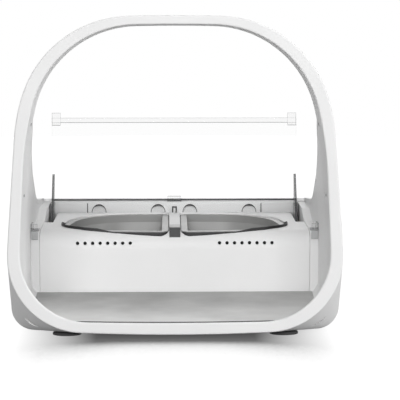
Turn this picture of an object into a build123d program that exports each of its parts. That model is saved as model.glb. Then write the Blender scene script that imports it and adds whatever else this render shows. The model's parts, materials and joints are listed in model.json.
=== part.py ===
"""Microchip pet feeder: a hooped tunnel over a mat, two weighed bowls and a clear motor-driven lid.

Frame: +X to the right, +Y from the hoop to the rear, +Z up, in millimetres. The origin is under the
middle of the feeder, on the surface that it stands on. A station is a distance behind the hoop's face.
"""

import math
import os

from build123d import *

# ---------------------------------------------------------------- overall
LENGTH = 320.0
WIDTH = 231.0
HEIGHT = 222.0
UNDERSIDE = 1.5  # height of the housing's flat bottom, which the feet lift off the floor
SKIN = 3.0  # thickness of the outer housing
PANEL = 2.4  # thickness of inner mouldings
FIT = 0.2  # gap between mouldings that meet

# ---------------------------------------------------------------- hoop
HOOP_DEPTH = 25.0
HOOP_FOOT = 2.7  # height of the hoop face's lowest point
HOOP_BAND = 8.9  # width of the hoop's face at the sides
HOOP_BAND_TOP = 6.0
HOOP_BAND_FOOT = 8.3
CROWN_DRAFT = 1.2  # how far the bore's top closes in from front to back
SIDE_DRAFT = 0.3  # how far its sides do
HOOP_WALL = 1.8
HOOP_ROUND = 1.1  # edge rounding of the hoop's face
HOOP_RIM = 1.6  # how far the face's outline runs straight back before it flares
CROWN_TURN = 1.2  # degrees that the hoop's flat top arc turns each side
SHOULDER_R = 78.0
FLARE_TURN = 12.7  # degrees that the slow arc under each shoulder turns
FLARE_R = 132.0
HOOP_LEAN = 4.4  # degrees that the sides lean in
HOOP_WAIST_R = 79.0
HOOP_HEEL_R = 52.0
HOOP_FLANK = 2.0  # upright run between a hoop's waist and its heel
SOLE_TURN = 2.6
BORE_SHOULDER_R = 74.0
BORE_FLARE_TURN = 10.5
BORE_FLARE_R = 255.0
BORE_LEAN = 3.0
BORE_WAIST_R = 109.0
BORE_HEEL_R = 46.6
BORE_SOLE_TURN = 1.2
FLOOR_TURN = 0.0
HOOP_SILL = 13.0  # station where the hoop's lip drops to the tunnel's floor
COIL_THICK = 1.0
COIL_GAP = 0.5
COIL_START = 5.0
COIL_END = 9.5
IR_SPOTS = [(98.0, 15.0), (147.0, 20.0)]  # height and station of each infrared window
IR_LENGTH = 5.0
IR_TALL = 2.2

# ---------------------------------------------------------------- housing
HEEL_R = 16.0
FLANK = 30.0
WAIST_R = 150.0
LINER_MIN = 1.3  # thickness of the tunnel's floor and walls
WALL_HALF = WIDTH / 2 - SKIN - FIT - LINER_MIN  # half width of the tunnel between its side walls
WALL_FLOOR = UNDERSIDE + SKIN + FIT + LINER_MIN  # height of the tunnel's floor
TUNNEL_FLANK = 38.0  # upright run of the tunnel's walls above their lower corners
REAR_LENGTH = 191.0  # from the bowl tray's front to the housing's rear
TRAY_FRONT = LENGTH - REAR_LENGTH
REAR_CORNER_R = 52.0
REAR_CROWN = 6.0
PLAN_OVER = 0.02  # how far the plan's sides stand outside the section's
SIDE_POINTS = [
    (0, 156.4),
    (60, 141),
    (TRAY_FRONT + 47, 74),
    (TRAY_FRONT + 123, 66.5),
    (LENGTH - 16, 52),
    (LENGTH, 34),
]  # station and height of the corners of the housing's side
SIDE_ROUNDS = [150, 90, 120, 40, 24]

# ---------------------------------------------------------------- bowl tray
DECK = 56.0
DECK_ROUND = 14.0
STEP_IN = 6.5  # from the tunnel's wall to the tub's
TUB_HALF = WALL_HALF - STEP_IN  # half width inside the tub
TUB_CORNER_R = 5.0
TUB_LENGTH = 122.5
TRAY_REAR = TRAY_FRONT + TUB_LENGTH
SHELF = DECK + 0.6  # height of the shelf between the tub and the tunnel's wall
REAR_WALL_TOP = DECK + 8.5
REAR_WALL_THICK = 7.0
WALL_FRONT = TRAY_REAR - REAR_WALL_THICK
WALL_RELIEF = DECK - 1.5  # the wall is set back below this height, to clear the lid's tail
SLOT_CLEAR = 0.45
WALL_ROUND = 2.2
ARCHES = (-63.7, -13.8, 13.1, 63.2)
ARCH_R = 5.9
ARCH_DEEP = 3.5
GROOVE_X = 73.0
GROOVE_WIDTH = 0.8
GROOVE_DEEP = 1.5
ARM_ROOM = 7.0  # how much the tray narrows on each side to let the lid's arms pass
NOTCH_HALF = TUB_HALF - ARM_ROOM
TRAY_FOOT = WALL_FLOOR + 2.5
POSTS = [(NOTCH_HALF - 3.5, TRAY_FRONT + 7), (NOTCH_HALF - 9.5, TRAY_FRONT + 100)]
POST_R = 3.0
CATCH_X = TUB_HALF + 0.8
CATCH_WIDTH = 5.0
CATCH_DEEP = 2.5
CATCH_TALL = 6.6
CATCH_LOW = SHELF - CATCH_TALL
STOP_HALF = 6.0
STOP_TALL = 4.0
STOP_GAP = 0.3
DECK_GAP = 1.0  # gap between tray and rear housing

# ---------------------------------------------------------------- bowls
BOWL_FRONT = TRAY_FRONT + 4.5
BOWL_LENGTH = 100.9
BOWL_BACK = BOWL_FRONT + BOWL_LENGTH
BOWL_BESIDE = 15.5  # from the tub's side to the bowls' widest point
BOWL_HALF = TUB_HALF - BOWL_BESIDE
BOWL_SPLIT = 10.4  # gap between the two bowls
BOWL_RIM = DECK - 1.0
BOWL_DEPTH = 27.0
BOWL_WALL = 1.6
BOWL_FLANGE = 3.2
BOWL_LIP = 6.0  # depth of the bowl's upright upper wall
BOWL_TAPER = 6.0  # how far the lower wall closes in
BOWL_FRONT_TURN = 10.0
BOWL_FRONT_R = 27.0
BOWL_SIDE_LEAN = 9.5
BOWL_BACK_R = 50.0
BOWL_BACK_TURN = 6.0
BOWL_CORNER_R = 6.0
BOWL_GAP = 0.9  # between rim and tray
BOWL_EDGE = 1.2  # thickness of the rim
LEDGE = 2.2
LEDGE_GAP = 0.3
BRIDGE_SET = 3.0
BRIDGE_HALF = 4.2
BRIDGE_LENGTH = 16.0
BRIDGE_TOP = DECK + 2.6
BRIDGE_NOSE = 10.0  # how far its front reaches down over the tray's edge
PAD_THICK = 2.0

# ---------------------------------------------------------------- lights
LIGHTS = 8
LIGHT_PITCH = 5.8
LIGHT_FIRST = 34.5
LIGHT_HEIGHT = DECK - 9.4
LIGHT_R = 1.25
LIGHT_GAP = 0.1
LIGHT_LENGTH = 3.5
LIGHT_SET_BACK = 0.3
BOARD = 1.6
LIGHT_BOARD_DROP = 6.0  # how far a light board reaches below its lights
LIGHT_BOARD_RISE = 1.5

# ---------------------------------------------------------------- lid
AXLE_STATION = TRAY_REAR - 27.0
AXLE_HEIGHT = DECK - 12.0
AXLE_R = 4.0
AXLE_CLEAR = 0.05
LID_REACH = 91.2  # from the axle to the lid's leading edge
LID_TAIL = 10.5  # from the axle to the lid's trailing edge
LID_OFFSET = 18.0  # from the axle to the middle of the lid's sheet
LID_THICK = 2.0
LID_SIDE_GAP = 2.0
LID_HALF = TUB_HALF - LID_SIDE_GAP
ARM_THICK = 2.0
ARM_GUSSET = 44.0  # height of an arm's plate above the axle
ARM_HUB_R = 7.5
NOTCH_START = AXLE_STATION - ARM_GUSSET - 1.0
BUSH_R = 7.0
BAR_HEIGHT = 4.0
BAR_DEPTH = 4.5
LUG_WIDTH = 7.0
LUG_RISE = 4.0  # how far a lug stands above the bar
LUG_HEIGHT = 10.5
LUG_DEPTH = 6.0

# ---------------------------------------------------------------- drive
GEAR_MODULE = 1.0
PRESSURE = 25.0  # pressure angle in degrees
LID_TEETH = 32
IDLER_TEETH = 20
PINION_TEETH = 12
GEAR_FACE = 3.4
GEAR_SIDE = 4.9  # from the tub's side to the gears' middle plane
GEAR_PLANE = TUB_HALF + GEAR_SIDE
GEAR_ROOM = 0.4  # between the gears' tips and their cover
GEAR_BACKLASH = 0.16
GEAR_ADDENDUM = 0.8  # in modules
GEAR_DEDENDUM = 1.0
COVER_SLOPE = 3.0  # how far the gear cover's front slopes back for each unit that it rises
IDLER_DROP = 5.0  # how far the idler's axis lies under the lid's
PIN_R = 2.0
MOTOR_R = 11.0
MOTOR_LENGTH = 34.0
MOTOR_FACE = TUB_HALF - 1.5  # distance of the motor's front from the centre
SHAFT_SUNK = 3.0
CRADLE_WIDTH = 20.0
CRADLE_DEPTH = 18.0
SHAFT_R = 1.5

# ---------------------------------------------------------------- power
CELL_R = 13.0
CELL_LENGTH = 50.0
NUB_R = 3.2  # the button of a cell's positive end
NUB_LENGTH = 2.0
CONTACT_ROOM = 2.0
CONTACT_HALF = 7.0
BOX_START = TRAY_REAR + PANEL + FIT
CELL_MARGIN = 0.4  # room round a cell
CELL_PITCH = 26.4
CELL_LIFT = 1.1  # from the housing's inner bottom to a cell
CELL_HEIGHT = UNDERSIDE + SKIN + CELL_LIFT + CELL_R
BOX_MID = 30.0  # distance of each cell pair's middle from the centre
DOOR_WIDTH = 58.0
DOOR_MARGIN = 1.5
DOOR_CORNER_R = 3.0

# ---------------------------------------------------------------- base
BASE_HALF = WALL_HALF - 20.0
BASE_FRONT = 34.0
BASE_REAR = TRAY_REAR - 5.5
FOOT_SUNK = 0.8
BASE_THICK = 2.0
BASE_CORNER_R = 24.0
FOOT_R = 8.0
FOOT_SPOTS = [(BASE_HALF - 13, BASE_FRONT + 18), (BASE_HALF - 17, BASE_REAR - 10)]
SCREW_SPOTS = [
    (BASE_HALF - 31, BASE_FRONT + 14),
    (BASE_HALF - 7, TRAY_FRONT + 13),
    (BASE_HALF - 7, BASE_REAR - 34),
]
SCREW_R = 1.5
SCREW_HEAD_R = 3.0
SCREW_HEAD = 0.9
SCREW_CLEAR = 0.05
SCREW_LENGTH = 3.2
BOSS_R = 4.2

# ---------------------------------------------------------------- load cells
CELL_BARS = [TRAY_FRONT + 31, TRAY_FRONT + 79]
BAR_HALF = 40.0
BAR_LOW = WALL_FLOOR + 1.4
BAR_TALL = 12.0
BAR_WIDE = 12.0
BAR_HOLE_R = 4.3
BAR_HOLE_X = 5.0
SPACER_LENGTH = 12.0
SPACER_THICK = 1.2
PLATE_TOP = BAR_LOW + BAR_TALL + SPACER_THICK + PANEL

# ---------------------------------------------------------------- mat
MAT_THICK = 2.4
MAT_GAP = 0.7
MAT_GAP_UNDER = 0.3
MAT_FRONT = 14.5
MAT_BULGE = 5.0

# ---------------------------------------------------------------- buttons
BUTTON_STATION = LENGTH - 39.0
BUTTONS = {"add_pet": -62.0, "zero": 34.0, "lid": 62.0}
BUTTON_R = 8.0
BUTTON_PROUD = 1.4
BUTTON_TRAVEL = 1.0
BUTTON_GAP = 0.25
SWITCH_TALL = 3.5
BOARD_DEPTH = 11.4  # from the deck's surface to the board's top
BOARD_LEFT = -66.5
BOARD_RIGHT = 70.0
BOARD_REACH = (-22.0, 20.0)
BOARD_BOSSES = (-17.0, 14.0)

FRONT = -LENGTH / 2
ALONG_X = (1, 0, 0)
ALONG_Y = (0, 1, 0)
ALONG_Z = (0, 0, 1)


def at(station):
    """Y of a station, measured back from the hoop's face."""
    return FRONT + station


# ================================================================ drawing helpers
def trace(start, heading, steps):
    """Tangent runs and bends from start, heading in degrees. A step is (length,) for a run or (radius, turn)
    for a bend, a positive turn going left. Returns a list of (start, middle or None, end)."""
    spans = []
    x, y = start
    for step in steps:
        if len(step) == 1:
            turned = math.radians(heading)
            end = (x + step[0] * math.cos(turned), y + step[0] * math.sin(turned))
            spans.append(((x, y), None, end))
        else:
            radius, turn = step
            side = math.copysign(1, turn)
            centre = (
                x - side * radius * math.sin(math.radians(heading)),
                y + side * radius * math.cos(math.radians(heading)),
            )
            points = []
            for angle in (heading + turn / 2, heading + turn):
                points.append(
                    (
                        centre[0] + side * radius * math.sin(math.radians(angle)),
                        centre[1] - side * radius * math.cos(math.radians(angle)),
                    )
                )
            spans.append(((x, y), points[0], points[1]))
            heading += turn
            end = points[1]
        x, y = end
    return spans


def both_halves(spans):
    """The spans of the right half, followed by their mirror image back to the start."""
    mirrored = []
    for start, middle, end in reversed(spans):
        flipped = None if middle is None else (-middle[0], middle[1])
        mirrored.append(((-end[0], end[1]), flipped, (-start[0], start[1])))
    return spans + mirrored


def face_of(spans, place):
    """A flat face inside closed spans. place turns a point of the drawing into a point in space."""
    edges = []
    for start, middle, end in spans:
        if middle is None:
            edges.append(Line(place(*start), place(*end)))
        else:
            edges.append(ThreePointArc(place(*start), place(*middle), place(*end)))
    return Face(Wire(edges))


def block(x, y, z):
    """A box from three (low, high) pairs."""
    size = [high - low for low, high in (x, y, z)]
    middle = [(high + low) / 2 for low, high in (x, y, z)]
    return Pos(*middle) * Box(*size)


def plate(outline, bottom, top):
    """An outline at height zero, raised into a plate between two heights."""
    return Pos(0, 0, bottom) * extrude(outline, top - bottom, dir=ALONG_Z)


def rod(centre, radius, length, axis):
    """A cylinder about a point, along one of the three axes."""
    turn = {ALONG_X: Rot(0, 90, 0), ALONG_Y: Rot(-90, 0, 0), ALONG_Z: Rot(0, 0, 0)}[axis]
    return Pos(*centre) * turn * Cylinder(radius, length)


# ================================================================ outlines
def hoop_like(station, half, top, bottom, shoulder, flare, flare_turn, lean, waist, flank, heel, sole_turn):
    """Upright section: a flat crown, round shoulders, leaning sides, upright flanks and round heels."""
    turns = (CROWN_TURN, 90 - lean - flare_turn, 90 - lean, 180 - sole_turn)
    a1, a2, a3, a4 = (math.radians(turn) for turn in turns)
    sole_end = half + heel * (math.sin(a4) - 1)
    sole = (sole_end / math.sin(a4), -sole_turn) if sole_turn else (sole_end,)
    sole_rise = sole[0] * (1 + math.cos(a4)) if sole_turn else 0
    across = half - waist * (1 - math.sin(a3)) - flare * (math.sin(a3) - math.sin(a2))
    across -= shoulder * (math.sin(a2) - math.sin(a1))
    drop = top - bottom - shoulder * (math.cos(a1) - math.cos(a2)) - flare * (math.cos(a2) - math.cos(a3))
    drop -= waist * math.cos(a3) + flank - heel * math.cos(a4) + sole_rise
    # the crown's radius and the side's length make the section close
    scale = math.sin(a1) * math.sin(a3) - math.cos(a3) * (1 - math.cos(a1))
    crown_r = (across * math.sin(a3) - drop * math.cos(a3)) / scale
    side = (drop * math.sin(a1) - across * (1 - math.cos(a1))) / scale
    steps = [
        (crown_r, -CROWN_TURN),
        (shoulder, CROWN_TURN - 90 + lean + flare_turn),
        (flare, -flare_turn),
        (side,),
        (waist, -lean),
        (flank,),
        (heel, sole_turn - 90),
        sole,
    ]
    spans = both_halves(trace((0, top), 0, steps))
    return face_of(spans, lambda x, z: (x, at(station), z))


def hoop_outside(station, inset):
    """The hoop face's outer edge."""
    return hoop_like(
        station,
        WIDTH / 2 - inset,
        HEIGHT - inset,
        HOOP_FOOT + inset,
        SHOULDER_R - inset,
        FLARE_R - inset,
        FLARE_TURN,
        HOOP_LEAN,
        HOOP_WAIST_R - inset,
        HOOP_FLANK,
        HOOP_HEEL_R - inset,
        SOLE_TURN,
    )


def hoop_inside(station, inset):
    """The bore's edge in the hoop's face; inset moves it towards the middle of the hoop."""
    return hoop_like(
        station,
        WIDTH / 2 - HOOP_BAND - inset,
        HEIGHT - HOOP_BAND_TOP - inset,
        HOOP_FOOT + HOOP_BAND_FOOT + inset,
        BORE_SHOULDER_R - inset,
        BORE_FLARE_R - inset,
        BORE_FLARE_TURN,
        BORE_LEAN,
        BORE_WAIST_R - inset,
        HOOP_FLANK,
        BORE_HEEL_R - inset,
        BORE_SOLE_TURN,
    )


def housing_section(station, inset):
    """The housing's outer section behind the hoop."""
    return hoop_like(
        station,
        WIDTH / 2 - inset,
        HEIGHT - inset,
        UNDERSIDE + inset,
        SHOULDER_R - inset,
        FLARE_R - inset,
        FLARE_TURN,
        HOOP_LEAN,
        WAIST_R - inset,
        FLANK,
        HEEL_R - inset,
        FLOOR_TURN,
    )


def tunnel_like(station, half, inset):
    """A section behind the bore's face: its crown and shoulders, and the tunnel's corners and floor."""
    return hoop_like(
        station,
        half - inset,
        HEIGHT - HOOP_BAND_TOP - CROWN_DRAFT - inset,
        WALL_FLOOR + inset,
        BORE_SHOULDER_R - SIDE_DRAFT - inset,
        BORE_FLARE_R - inset,
        BORE_FLARE_TURN,
        BORE_LEAN,
        BORE_WAIST_R - inset,
        TUNNEL_FLANK,
        HEEL_R - SKIN - FIT - LINER_MIN - inset,
        FLOOR_TURN,
    )


def bore_rear(station, inset):
    """The bore's edge at the back of the hoop, where the tunnel starts."""
    return tunnel_like(station, WIDTH / 2 - HOOP_BAND - SIDE_DRAFT, inset)


def tunnel_section(station, inset):
    """The tunnel's section at the bowl tray."""
    return tunnel_like(station, WALL_HALF, inset)


def span_solid(front_face, rear_face):
    """A straight-sided solid between two sections with as many edges."""
    return Solid.make_loft([front_face.outer_wire(), rear_face.outer_wire()], ruled=True)


def push_back(face, depth):
    return extrude(face, depth, dir=ALONG_Y)


def side_profile(inset):
    """The housing from the side, as a solid across the whole width."""
    path = [(0, -40)] + SIDE_POINTS + [(LENGTH, -40)]
    wire = FilletPolyline(*[(0, at(s), z) for s, z in path], radius=[0.01] + SIDE_ROUNDS, close=False)
    wire = Wire([*wire.edges(), Line((0, at(LENGTH), -40), (0, at(0), -40))])
    face = Face(wire)
    if inset:
        face = offset(face, -inset, kind=Kind.INTERSECTION).face()
    return extrude(face, WIDTH, dir=ALONG_X, both=True)


def plan_outline(half, front_station, inset, corner):
    """The housing from above, with rounded rear corners, drawn at height zero."""
    turn = math.radians(REAR_CROWN)
    radius = (half - inset - (corner - inset) * (1 - math.sin(turn))) / math.sin(turn)
    depth = radius * (1 - math.cos(turn)) + (corner - inset) * math.cos(turn)
    run = LENGTH - inset - depth - front_station
    steps = [(radius, -REAR_CROWN), (corner - inset, REAR_CROWN - 90), (run,)]
    spans = both_halves(trace((0, at(LENGTH - inset)), 0, steps))
    right_end = spans[2][2]
    spans.insert(3, (right_end, None, (-right_end[0], right_end[1])))
    return face_of(spans, lambda x, y: (x, y, 0))


def housing_form(front_station, inset):
    """The housing's outer form from a station back, before it is hollowed."""
    depth = LENGTH - front_station
    form = push_back(housing_section(front_station, inset), depth)
    form &= plate(plan_outline(WIDTH / 2 + PLAN_OVER, -10, inset, REAR_CORNER_R), -20, HEIGHT + 20)
    return form & side_profile(inset)


def bowl_plan(inset):
    """Both bowls' rim from above: a gently curved front, round corners and a narrower back."""
    a1, a2, a3 = (math.radians(v) for v in (BOWL_FRONT_TURN, 90 + BOWL_SIDE_LEAN, 180 - BOWL_BACK_TURN))
    front_r = BOWL_FRONT_R - inset
    back_r = BOWL_BACK_R - inset
    half = BOWL_HALF - inset
    long_front = (half - front_r * (1 - math.sin(a1))) / math.sin(a1)
    depth = BOWL_BACK - BOWL_FRONT - 2 * inset
    used = long_front * (1 - math.cos(a1)) + front_r * (math.cos(a1) - math.cos(a2))
    used += back_r * (math.cos(a2) - math.cos(a3))
    widest = half - front_r * (1 - math.sin(a2))
    # the side's length makes the long back arc close at the middle
    pull = (1 + math.cos(a3)) / math.sin(a3)
    start = widest - back_r * (math.sin(a2) - math.sin(a3))
    side = (depth - used - start * pull) / (math.sin(a2) + math.cos(a2) * pull)
    long_back = (start + side * math.cos(a2)) / math.sin(a3)
    steps = [
        (long_front, BOWL_FRONT_TURN),
        (front_r, 90 + BOWL_SIDE_LEAN - BOWL_FRONT_TURN),
        (side,),
        (back_r, 90 - BOWL_SIDE_LEAN - BOWL_BACK_TURN),
        (long_back, BOWL_BACK_TURN),
    ]
    spans = both_halves(trace((0, at(BOWL_FRONT + inset)), 0, steps))
    return face_of(spans, lambda x, y: (x, y, 0))


def half_bowl(side, inset, height):
    """One bowl's plan at a height, with rounded corners at the split."""
    edge = BOWL_SPLIT / 2 + inset
    cut = block((edge, WIDTH), (at(0), at(LENGTH)), (-1, 1))
    if side < 0:
        cut = cut.mirror(Plane.YZ)
    face = (bowl_plan(inset) & cut).face()
    corners = [v for v in face.vertices() if abs(abs(v.X) - edge) < 0.01]
    face = face.fillet_2d(BOWL_CORNER_R - min(inset, BOWL_CORNER_R - 1.5), corners)
    return Pos(0, 0, height) * face


# ================================================================ hoop
def bore(inset):
    """The hoop's bore, which drops to the tunnel's floor behind a low lip. A negative inset adds a wall."""
    throat = span_solid(hoop_inside(HOOP_RIM, inset), bore_rear(HOOP_DEPTH, inset))
    throat += push_back(hoop_inside(0, inset), HOOP_RIM)
    sill = HOOP_SILL + inset
    return throat + push_back(bore_rear(sill, inset), HOOP_DEPTH - sill)


def slab(start, end):
    """Everything between two stations."""
    return block((-WIDTH, WIDTH), (at(start), at(end)), (-WIDTH, 2 * HEIGHT))


def hoop_flare(inset):
    """The hoop behind its rim, without the bore: from the face's outline to the housing's section."""
    return span_solid(hoop_outside(HOOP_RIM, inset), housing_section(HOOP_DEPTH, inset))


def make_hoop():
    rim = push_back(hoop_outside(0, 0), HOOP_RIM) - bore(0)
    face_edges = [e for e in rim.edges() if e.bounding_box().max.Y < at(0.01)]
    rim = fillet(face_edges, HOOP_ROUND)
    front = rim + (hoop_flare(0) - bore(0))
    hollow = hoop_flare(HOOP_WALL) + push_back(hoop_outside(0, HOOP_WALL), HOOP_RIM)
    channel = hollow - bore(-HOOP_WALL) - slab(-1, HOOP_WALL)
    front -= channel
    for side in (-1, 1):
        for height, station in IR_SPOTS:
            front -= ir_window(side, height, station, 0)
    cover = channel & slab(HOOP_DEPTH - PANEL, HOOP_DEPTH)
    coil = bore(-HOOP_WALL - COIL_GAP - COIL_THICK) - bore(-HOOP_WALL - COIL_GAP)
    coil &= hollow & slab(COIL_START, COIL_END)
    return front, cover, coil


def ir_window(side, height, station, gap):
    """One infrared window through the wall of the hoop's bore, or the opening for it when gap is zero."""
    depth = (at(station - IR_LENGTH / 2 + gap), at(station + IR_LENGTH / 2 - gap))
    tall = (height - IR_TALL / 2 + gap, height + IR_TALL / 2 - gap)
    throat = span_solid(hoop_inside(0, -gap), bore_rear(HOOP_DEPTH, -gap))
    wall = span_solid(hoop_inside(0, -HOOP_WALL - gap), bore_rear(HOOP_DEPTH, -HOOP_WALL - gap)) - throat
    if not gap:
        wall = block((-WIDTH / 2, WIDTH / 2), depth, tall) & bore(-HOOP_WALL - FIT)
    reach = sorted((side * WIDTH / 4, side * WIDTH / 2))
    return wall & block(reach, depth, tall)


def make_ir_windows():
    return Compound([ir_window(side, *spot, FIT) for side in (-1, 1) for spot in IR_SPOTS])


# ================================================================ housing
def tunnel(inset):
    """The room from the hoop to the bowls' front, where the walls step in."""
    lead = span_solid(bore_rear(HOOP_DEPTH, inset), tunnel_section(TRAY_FRONT, inset))
    return lead + push_back(tunnel_section(TRAY_FRONT, inset), max(-inset, 0) + 0.01)


def tub(inset):
    """The room for the bowl tray and the lid's lower end, and the wider room above its shelves."""
    half = TUB_HALF - inset
    floor = WALL_FLOOR + inset
    room = block((-half, half), (at(TRAY_FRONT - 1), at(TRAY_REAR - inset)), (floor, HEIGHT))
    lower = [e for e in room.edges().filter_by(Axis.Y) if e.center().Z < floor + 0.1]
    room = fillet(lower, TUB_CORNER_R - inset)
    upper = push_back(tunnel_section(TRAY_FRONT, inset), TUB_LENGTH - inset)
    upper &= block((-WIDTH, WIDTH), (at(0), at(LENGTH)), (SHELF + inset, 2 * HEIGHT))
    for side in (-1, 1):
        upper -= gear_cover(side, inset)
    return room + upper


def gear_cover(side, inset):
    """The hump on a shelf over the lid's gear, with a sloping front."""
    tip = GEAR_MODULE * (LID_TEETH / 2 + GEAR_ADDENDUM) + GEAR_ROOM + PANEL
    top = AXLE_HEIGHT + tip + inset
    start = AXLE_STATION - tip - inset
    foot = SHELF - PANEL + inset
    ramp = start - COVER_SLOPE * (top - foot)
    corners = [(ramp, foot), (start, top), (LENGTH, top), (LENGTH, foot)]
    points = [(side * (TUB_HALF - inset), at(station), z) for station, z in corners]
    return extrude(Face(Wire(Polyline(*points, close=True).edges())), WIDTH, dir=(side, 0, 0))


def base_outline(gap):
    """The base cover's outline with rounded corners, drawn at height zero."""
    width = 2 * (BASE_HALF + gap)
    length = BASE_REAR - BASE_FRONT + 2 * gap
    place = Pos(0, at((BASE_FRONT + BASE_REAR) / 2), 0)
    return place * RectangleRounded(width, length, BASE_CORNER_R + gap)


def door_outline(side, gap):
    """One battery door's outline, drawn at height zero."""
    length = box_end() - BOX_START - 2 * DOOR_MARGIN + 2 * gap
    place = Pos(side * BOX_MID, at((BOX_START + box_end()) / 2), 0)
    return place * RectangleRounded(DOOR_WIDTH + 2 * gap, length, DOOR_CORNER_R)


def deck_place(x, station):
    """The place on the sloping rear deck, with its local Z square to the surface."""
    (s1, z1), (s2, z2) = SIDE_POINTS[3:5]
    fall = math.degrees(math.atan2(z1 - z2, s2 - s1))
    return Pos(x, at(station), z1 - (station - s1) * math.tan(math.radians(fall))) * Rot(-fall, 0, 0)


def board_corners():
    columns = (BOARD_LEFT + BOSS_R, BOARD_RIGHT - BOSS_R)
    return [(x, BUTTON_STATION + y) for x in columns for y in BOARD_BOSSES]


def make_housing():
    shell = housing_form(HOOP_DEPTH, 0) - housing_form(HOOP_DEPTH, SKIN)
    shell -= tunnel(0) + tub(0)
    shell -= plate(base_outline(FIT), 0, UNDERSIDE + SKIN + 0.1)
    for side in (-1, 1):
        shell -= plate(door_outline(side, FIT), 0, UNDERSIDE + SKIN + 0.1)
    for x in BUTTONS.values():
        shell -= deck_place(x, BUTTON_STATION) * Cylinder(BUTTON_R + BUTTON_GAP, 4 * SKIN)
    for x, station in board_corners():
        boss = Pos(0, 0, -(SKIN - 0.2 + BOARD_DEPTH) / 2) * Cylinder(BOSS_R, BOARD_DEPTH - SKIN + 0.2)
        pilot = Pos(0, 0, -BOARD_DEPTH) * Cylinder(SCREW_R, SCREW_LENGTH)
        shell += deck_place(x, station) * (boss - pilot)
    return shell


def make_liner():
    room = tunnel(0) + tub(0)
    liner = (tunnel(-PANEL) + tub(-PANEL) - room) & housing_form(HOOP_DEPTH, SKIN + FIT)
    liner &= slab(HOOP_DEPTH + FIT, LENGTH)
    for x, station in screw_spots():
        low, high = UNDERSIDE + BASE_THICK + FIT, WALL_FLOOR - 0.5
        liner += rod((x, at(station), (low + high) / 2), BOSS_R, high - low, ALONG_Z)
        liner -= rod((x, at(station), WALL_FLOOR), SCREW_R, SCREW_LENGTH * 3, ALONG_Z)
    for side in (-1, 1):
        liner -= rod((side * TUB_HALF, at(AXLE_STATION), AXLE_HEIGHT), BUSH_R, 4 * PANEL, ALONG_X)
    return liner


def screw_spots():
    return [(side * x, station) for side in (-1, 1) for x, station in SCREW_SPOTS]


def foot_spots():
    return [(side * x, station) for side in (-1, 1) for x, station in FOOT_SPOTS]


def make_base_cover():
    cover = plate(base_outline(0), UNDERSIDE, UNDERSIDE + BASE_THICK)
    for x, station in screw_spots():
        cover -= rod((x, at(station), UNDERSIDE), SCREW_R + FIT, 3 * BASE_THICK, ALONG_Z)
        cover -= rod((x, at(station), UNDERSIDE), SCREW_HEAD_R + FIT, 2 * SCREW_HEAD, ALONG_Z)
    for x, station in foot_spots():
        cover -= rod((x, at(station), UNDERSIDE), FOOT_R + FIT, 2 * FOOT_SUNK, ALONG_Z)
    return cover


def screw(length):
    """A screw pointing up, with the top of its head at height zero."""
    head = Pos(0, 0, -SCREW_HEAD / 2) * Cylinder(SCREW_HEAD_R, SCREW_HEAD)
    shank = Pos(0, 0, length / 2) * Cylinder(SCREW_R - SCREW_CLEAR, length)
    return head + shank


def make_base_screws():
    top = UNDERSIDE + SCREW_HEAD
    return Compound([Pos(x, at(station), top) * screw(SCREW_LENGTH) for x, station in screw_spots()])


def make_feet():
    height = UNDERSIDE + FOOT_SUNK
    foot = Pos(0, 0, height / 2) * Cylinder(FOOT_R, height)
    foot = fillet([e for e in foot.edges() if e.center().Z < 0.1], 0.6)
    return Compound([Pos(x, at(station), 0) * foot for x, station in foot_spots()])


def make_mat():
    """A thin mat that fills the tunnel's floor from side to side, with a curved front edge."""
    back = at(TRAY_FRONT - MAT_GAP)
    side = at(MAT_FRONT + MAT_BULGE)
    half = WIDTH / 2
    edges = [
        ThreePointArc((-half, side), (0, at(MAT_FRONT)), (half, side)),
        Line((half, side), (half, back)),
        Line((half, back), (-half, back)),
        Line((-half, back), (-half, side)),
    ]
    layer = plate(Face(Wire(edges)), 0, WALL_FLOOR + MAT_GAP_UNDER + MAT_THICK)
    return (bore(MAT_GAP_UNDER) + tunnel(MAT_GAP_UNDER)) & layer


# ================================================================ bowl tray
def tray_form(inset):
    """The tray's outer form, wide in front and narrower where the lid's arms swing."""
    half = TUB_HALF - FIT - inset
    narrow = NOTCH_HALF - inset
    top = DECK - inset
    low = TRAY_FOOT - (10 if inset else 0)
    front = TRAY_FRONT + FIT + inset
    wide = block((-half, half), (at(front), at(NOTCH_START - inset)), (low, top))
    slim = block((-narrow, narrow), (at(front), at(slot_start() - inset)), (low, top))
    form = wide + slim
    edge = [e for e in form.edges().filter_by(Axis.X) if e.center().Y < at(front) + 0.01]
    return fillet([e for e in edge if e.center().Z > top - 0.01], DECK_ROUND - inset)


def slot_start():
    """The tray's rear edge, which just clears the lid's sheet as it turns."""
    reach = LID_OFFSET - LID_THICK / 2 - SLOT_CLEAR
    return AXLE_STATION + math.sqrt(reach**2 - (DECK - AXLE_HEIGHT) ** 2)


def make_tray():
    form = tray_form(0)
    tray = (form & tub(FIT)) - tray_form(PANEL)
    well = BOWL_RIM - BOWL_EDGE - LEDGE_GAP
    for side in (-1, 1):
        hole = half_bowl(side, -BOWL_GAP, 0)
        ledge = plate(hole, well - LEDGE, well) - plate(half_bowl(side, BOWL_FLANGE - BOWL_GAP, 0), 0, HEIGHT)
        tray -= plate(hole, well, HEIGHT)
        tray -= plate(half_bowl(side, BOWL_FLANGE - BOWL_GAP, 0), well - 4 * LEDGE, HEIGHT)
        tray += ledge & form
        for x in light_spots(side):
            tray -= light(x, LIGHT_R + LIGHT_GAP, 0)
    tray -= slab(slot_start(), LENGTH)
    for x, station in POSTS:
        for side in (-1, 1):
            post = rod((side * x, at(station), (DECK + PLATE_TOP) / 2), POST_R, DECK - PLATE_TOP, ALONG_Z)
            tray += post & tray_form(PANEL / 2)
    return tray


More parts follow.
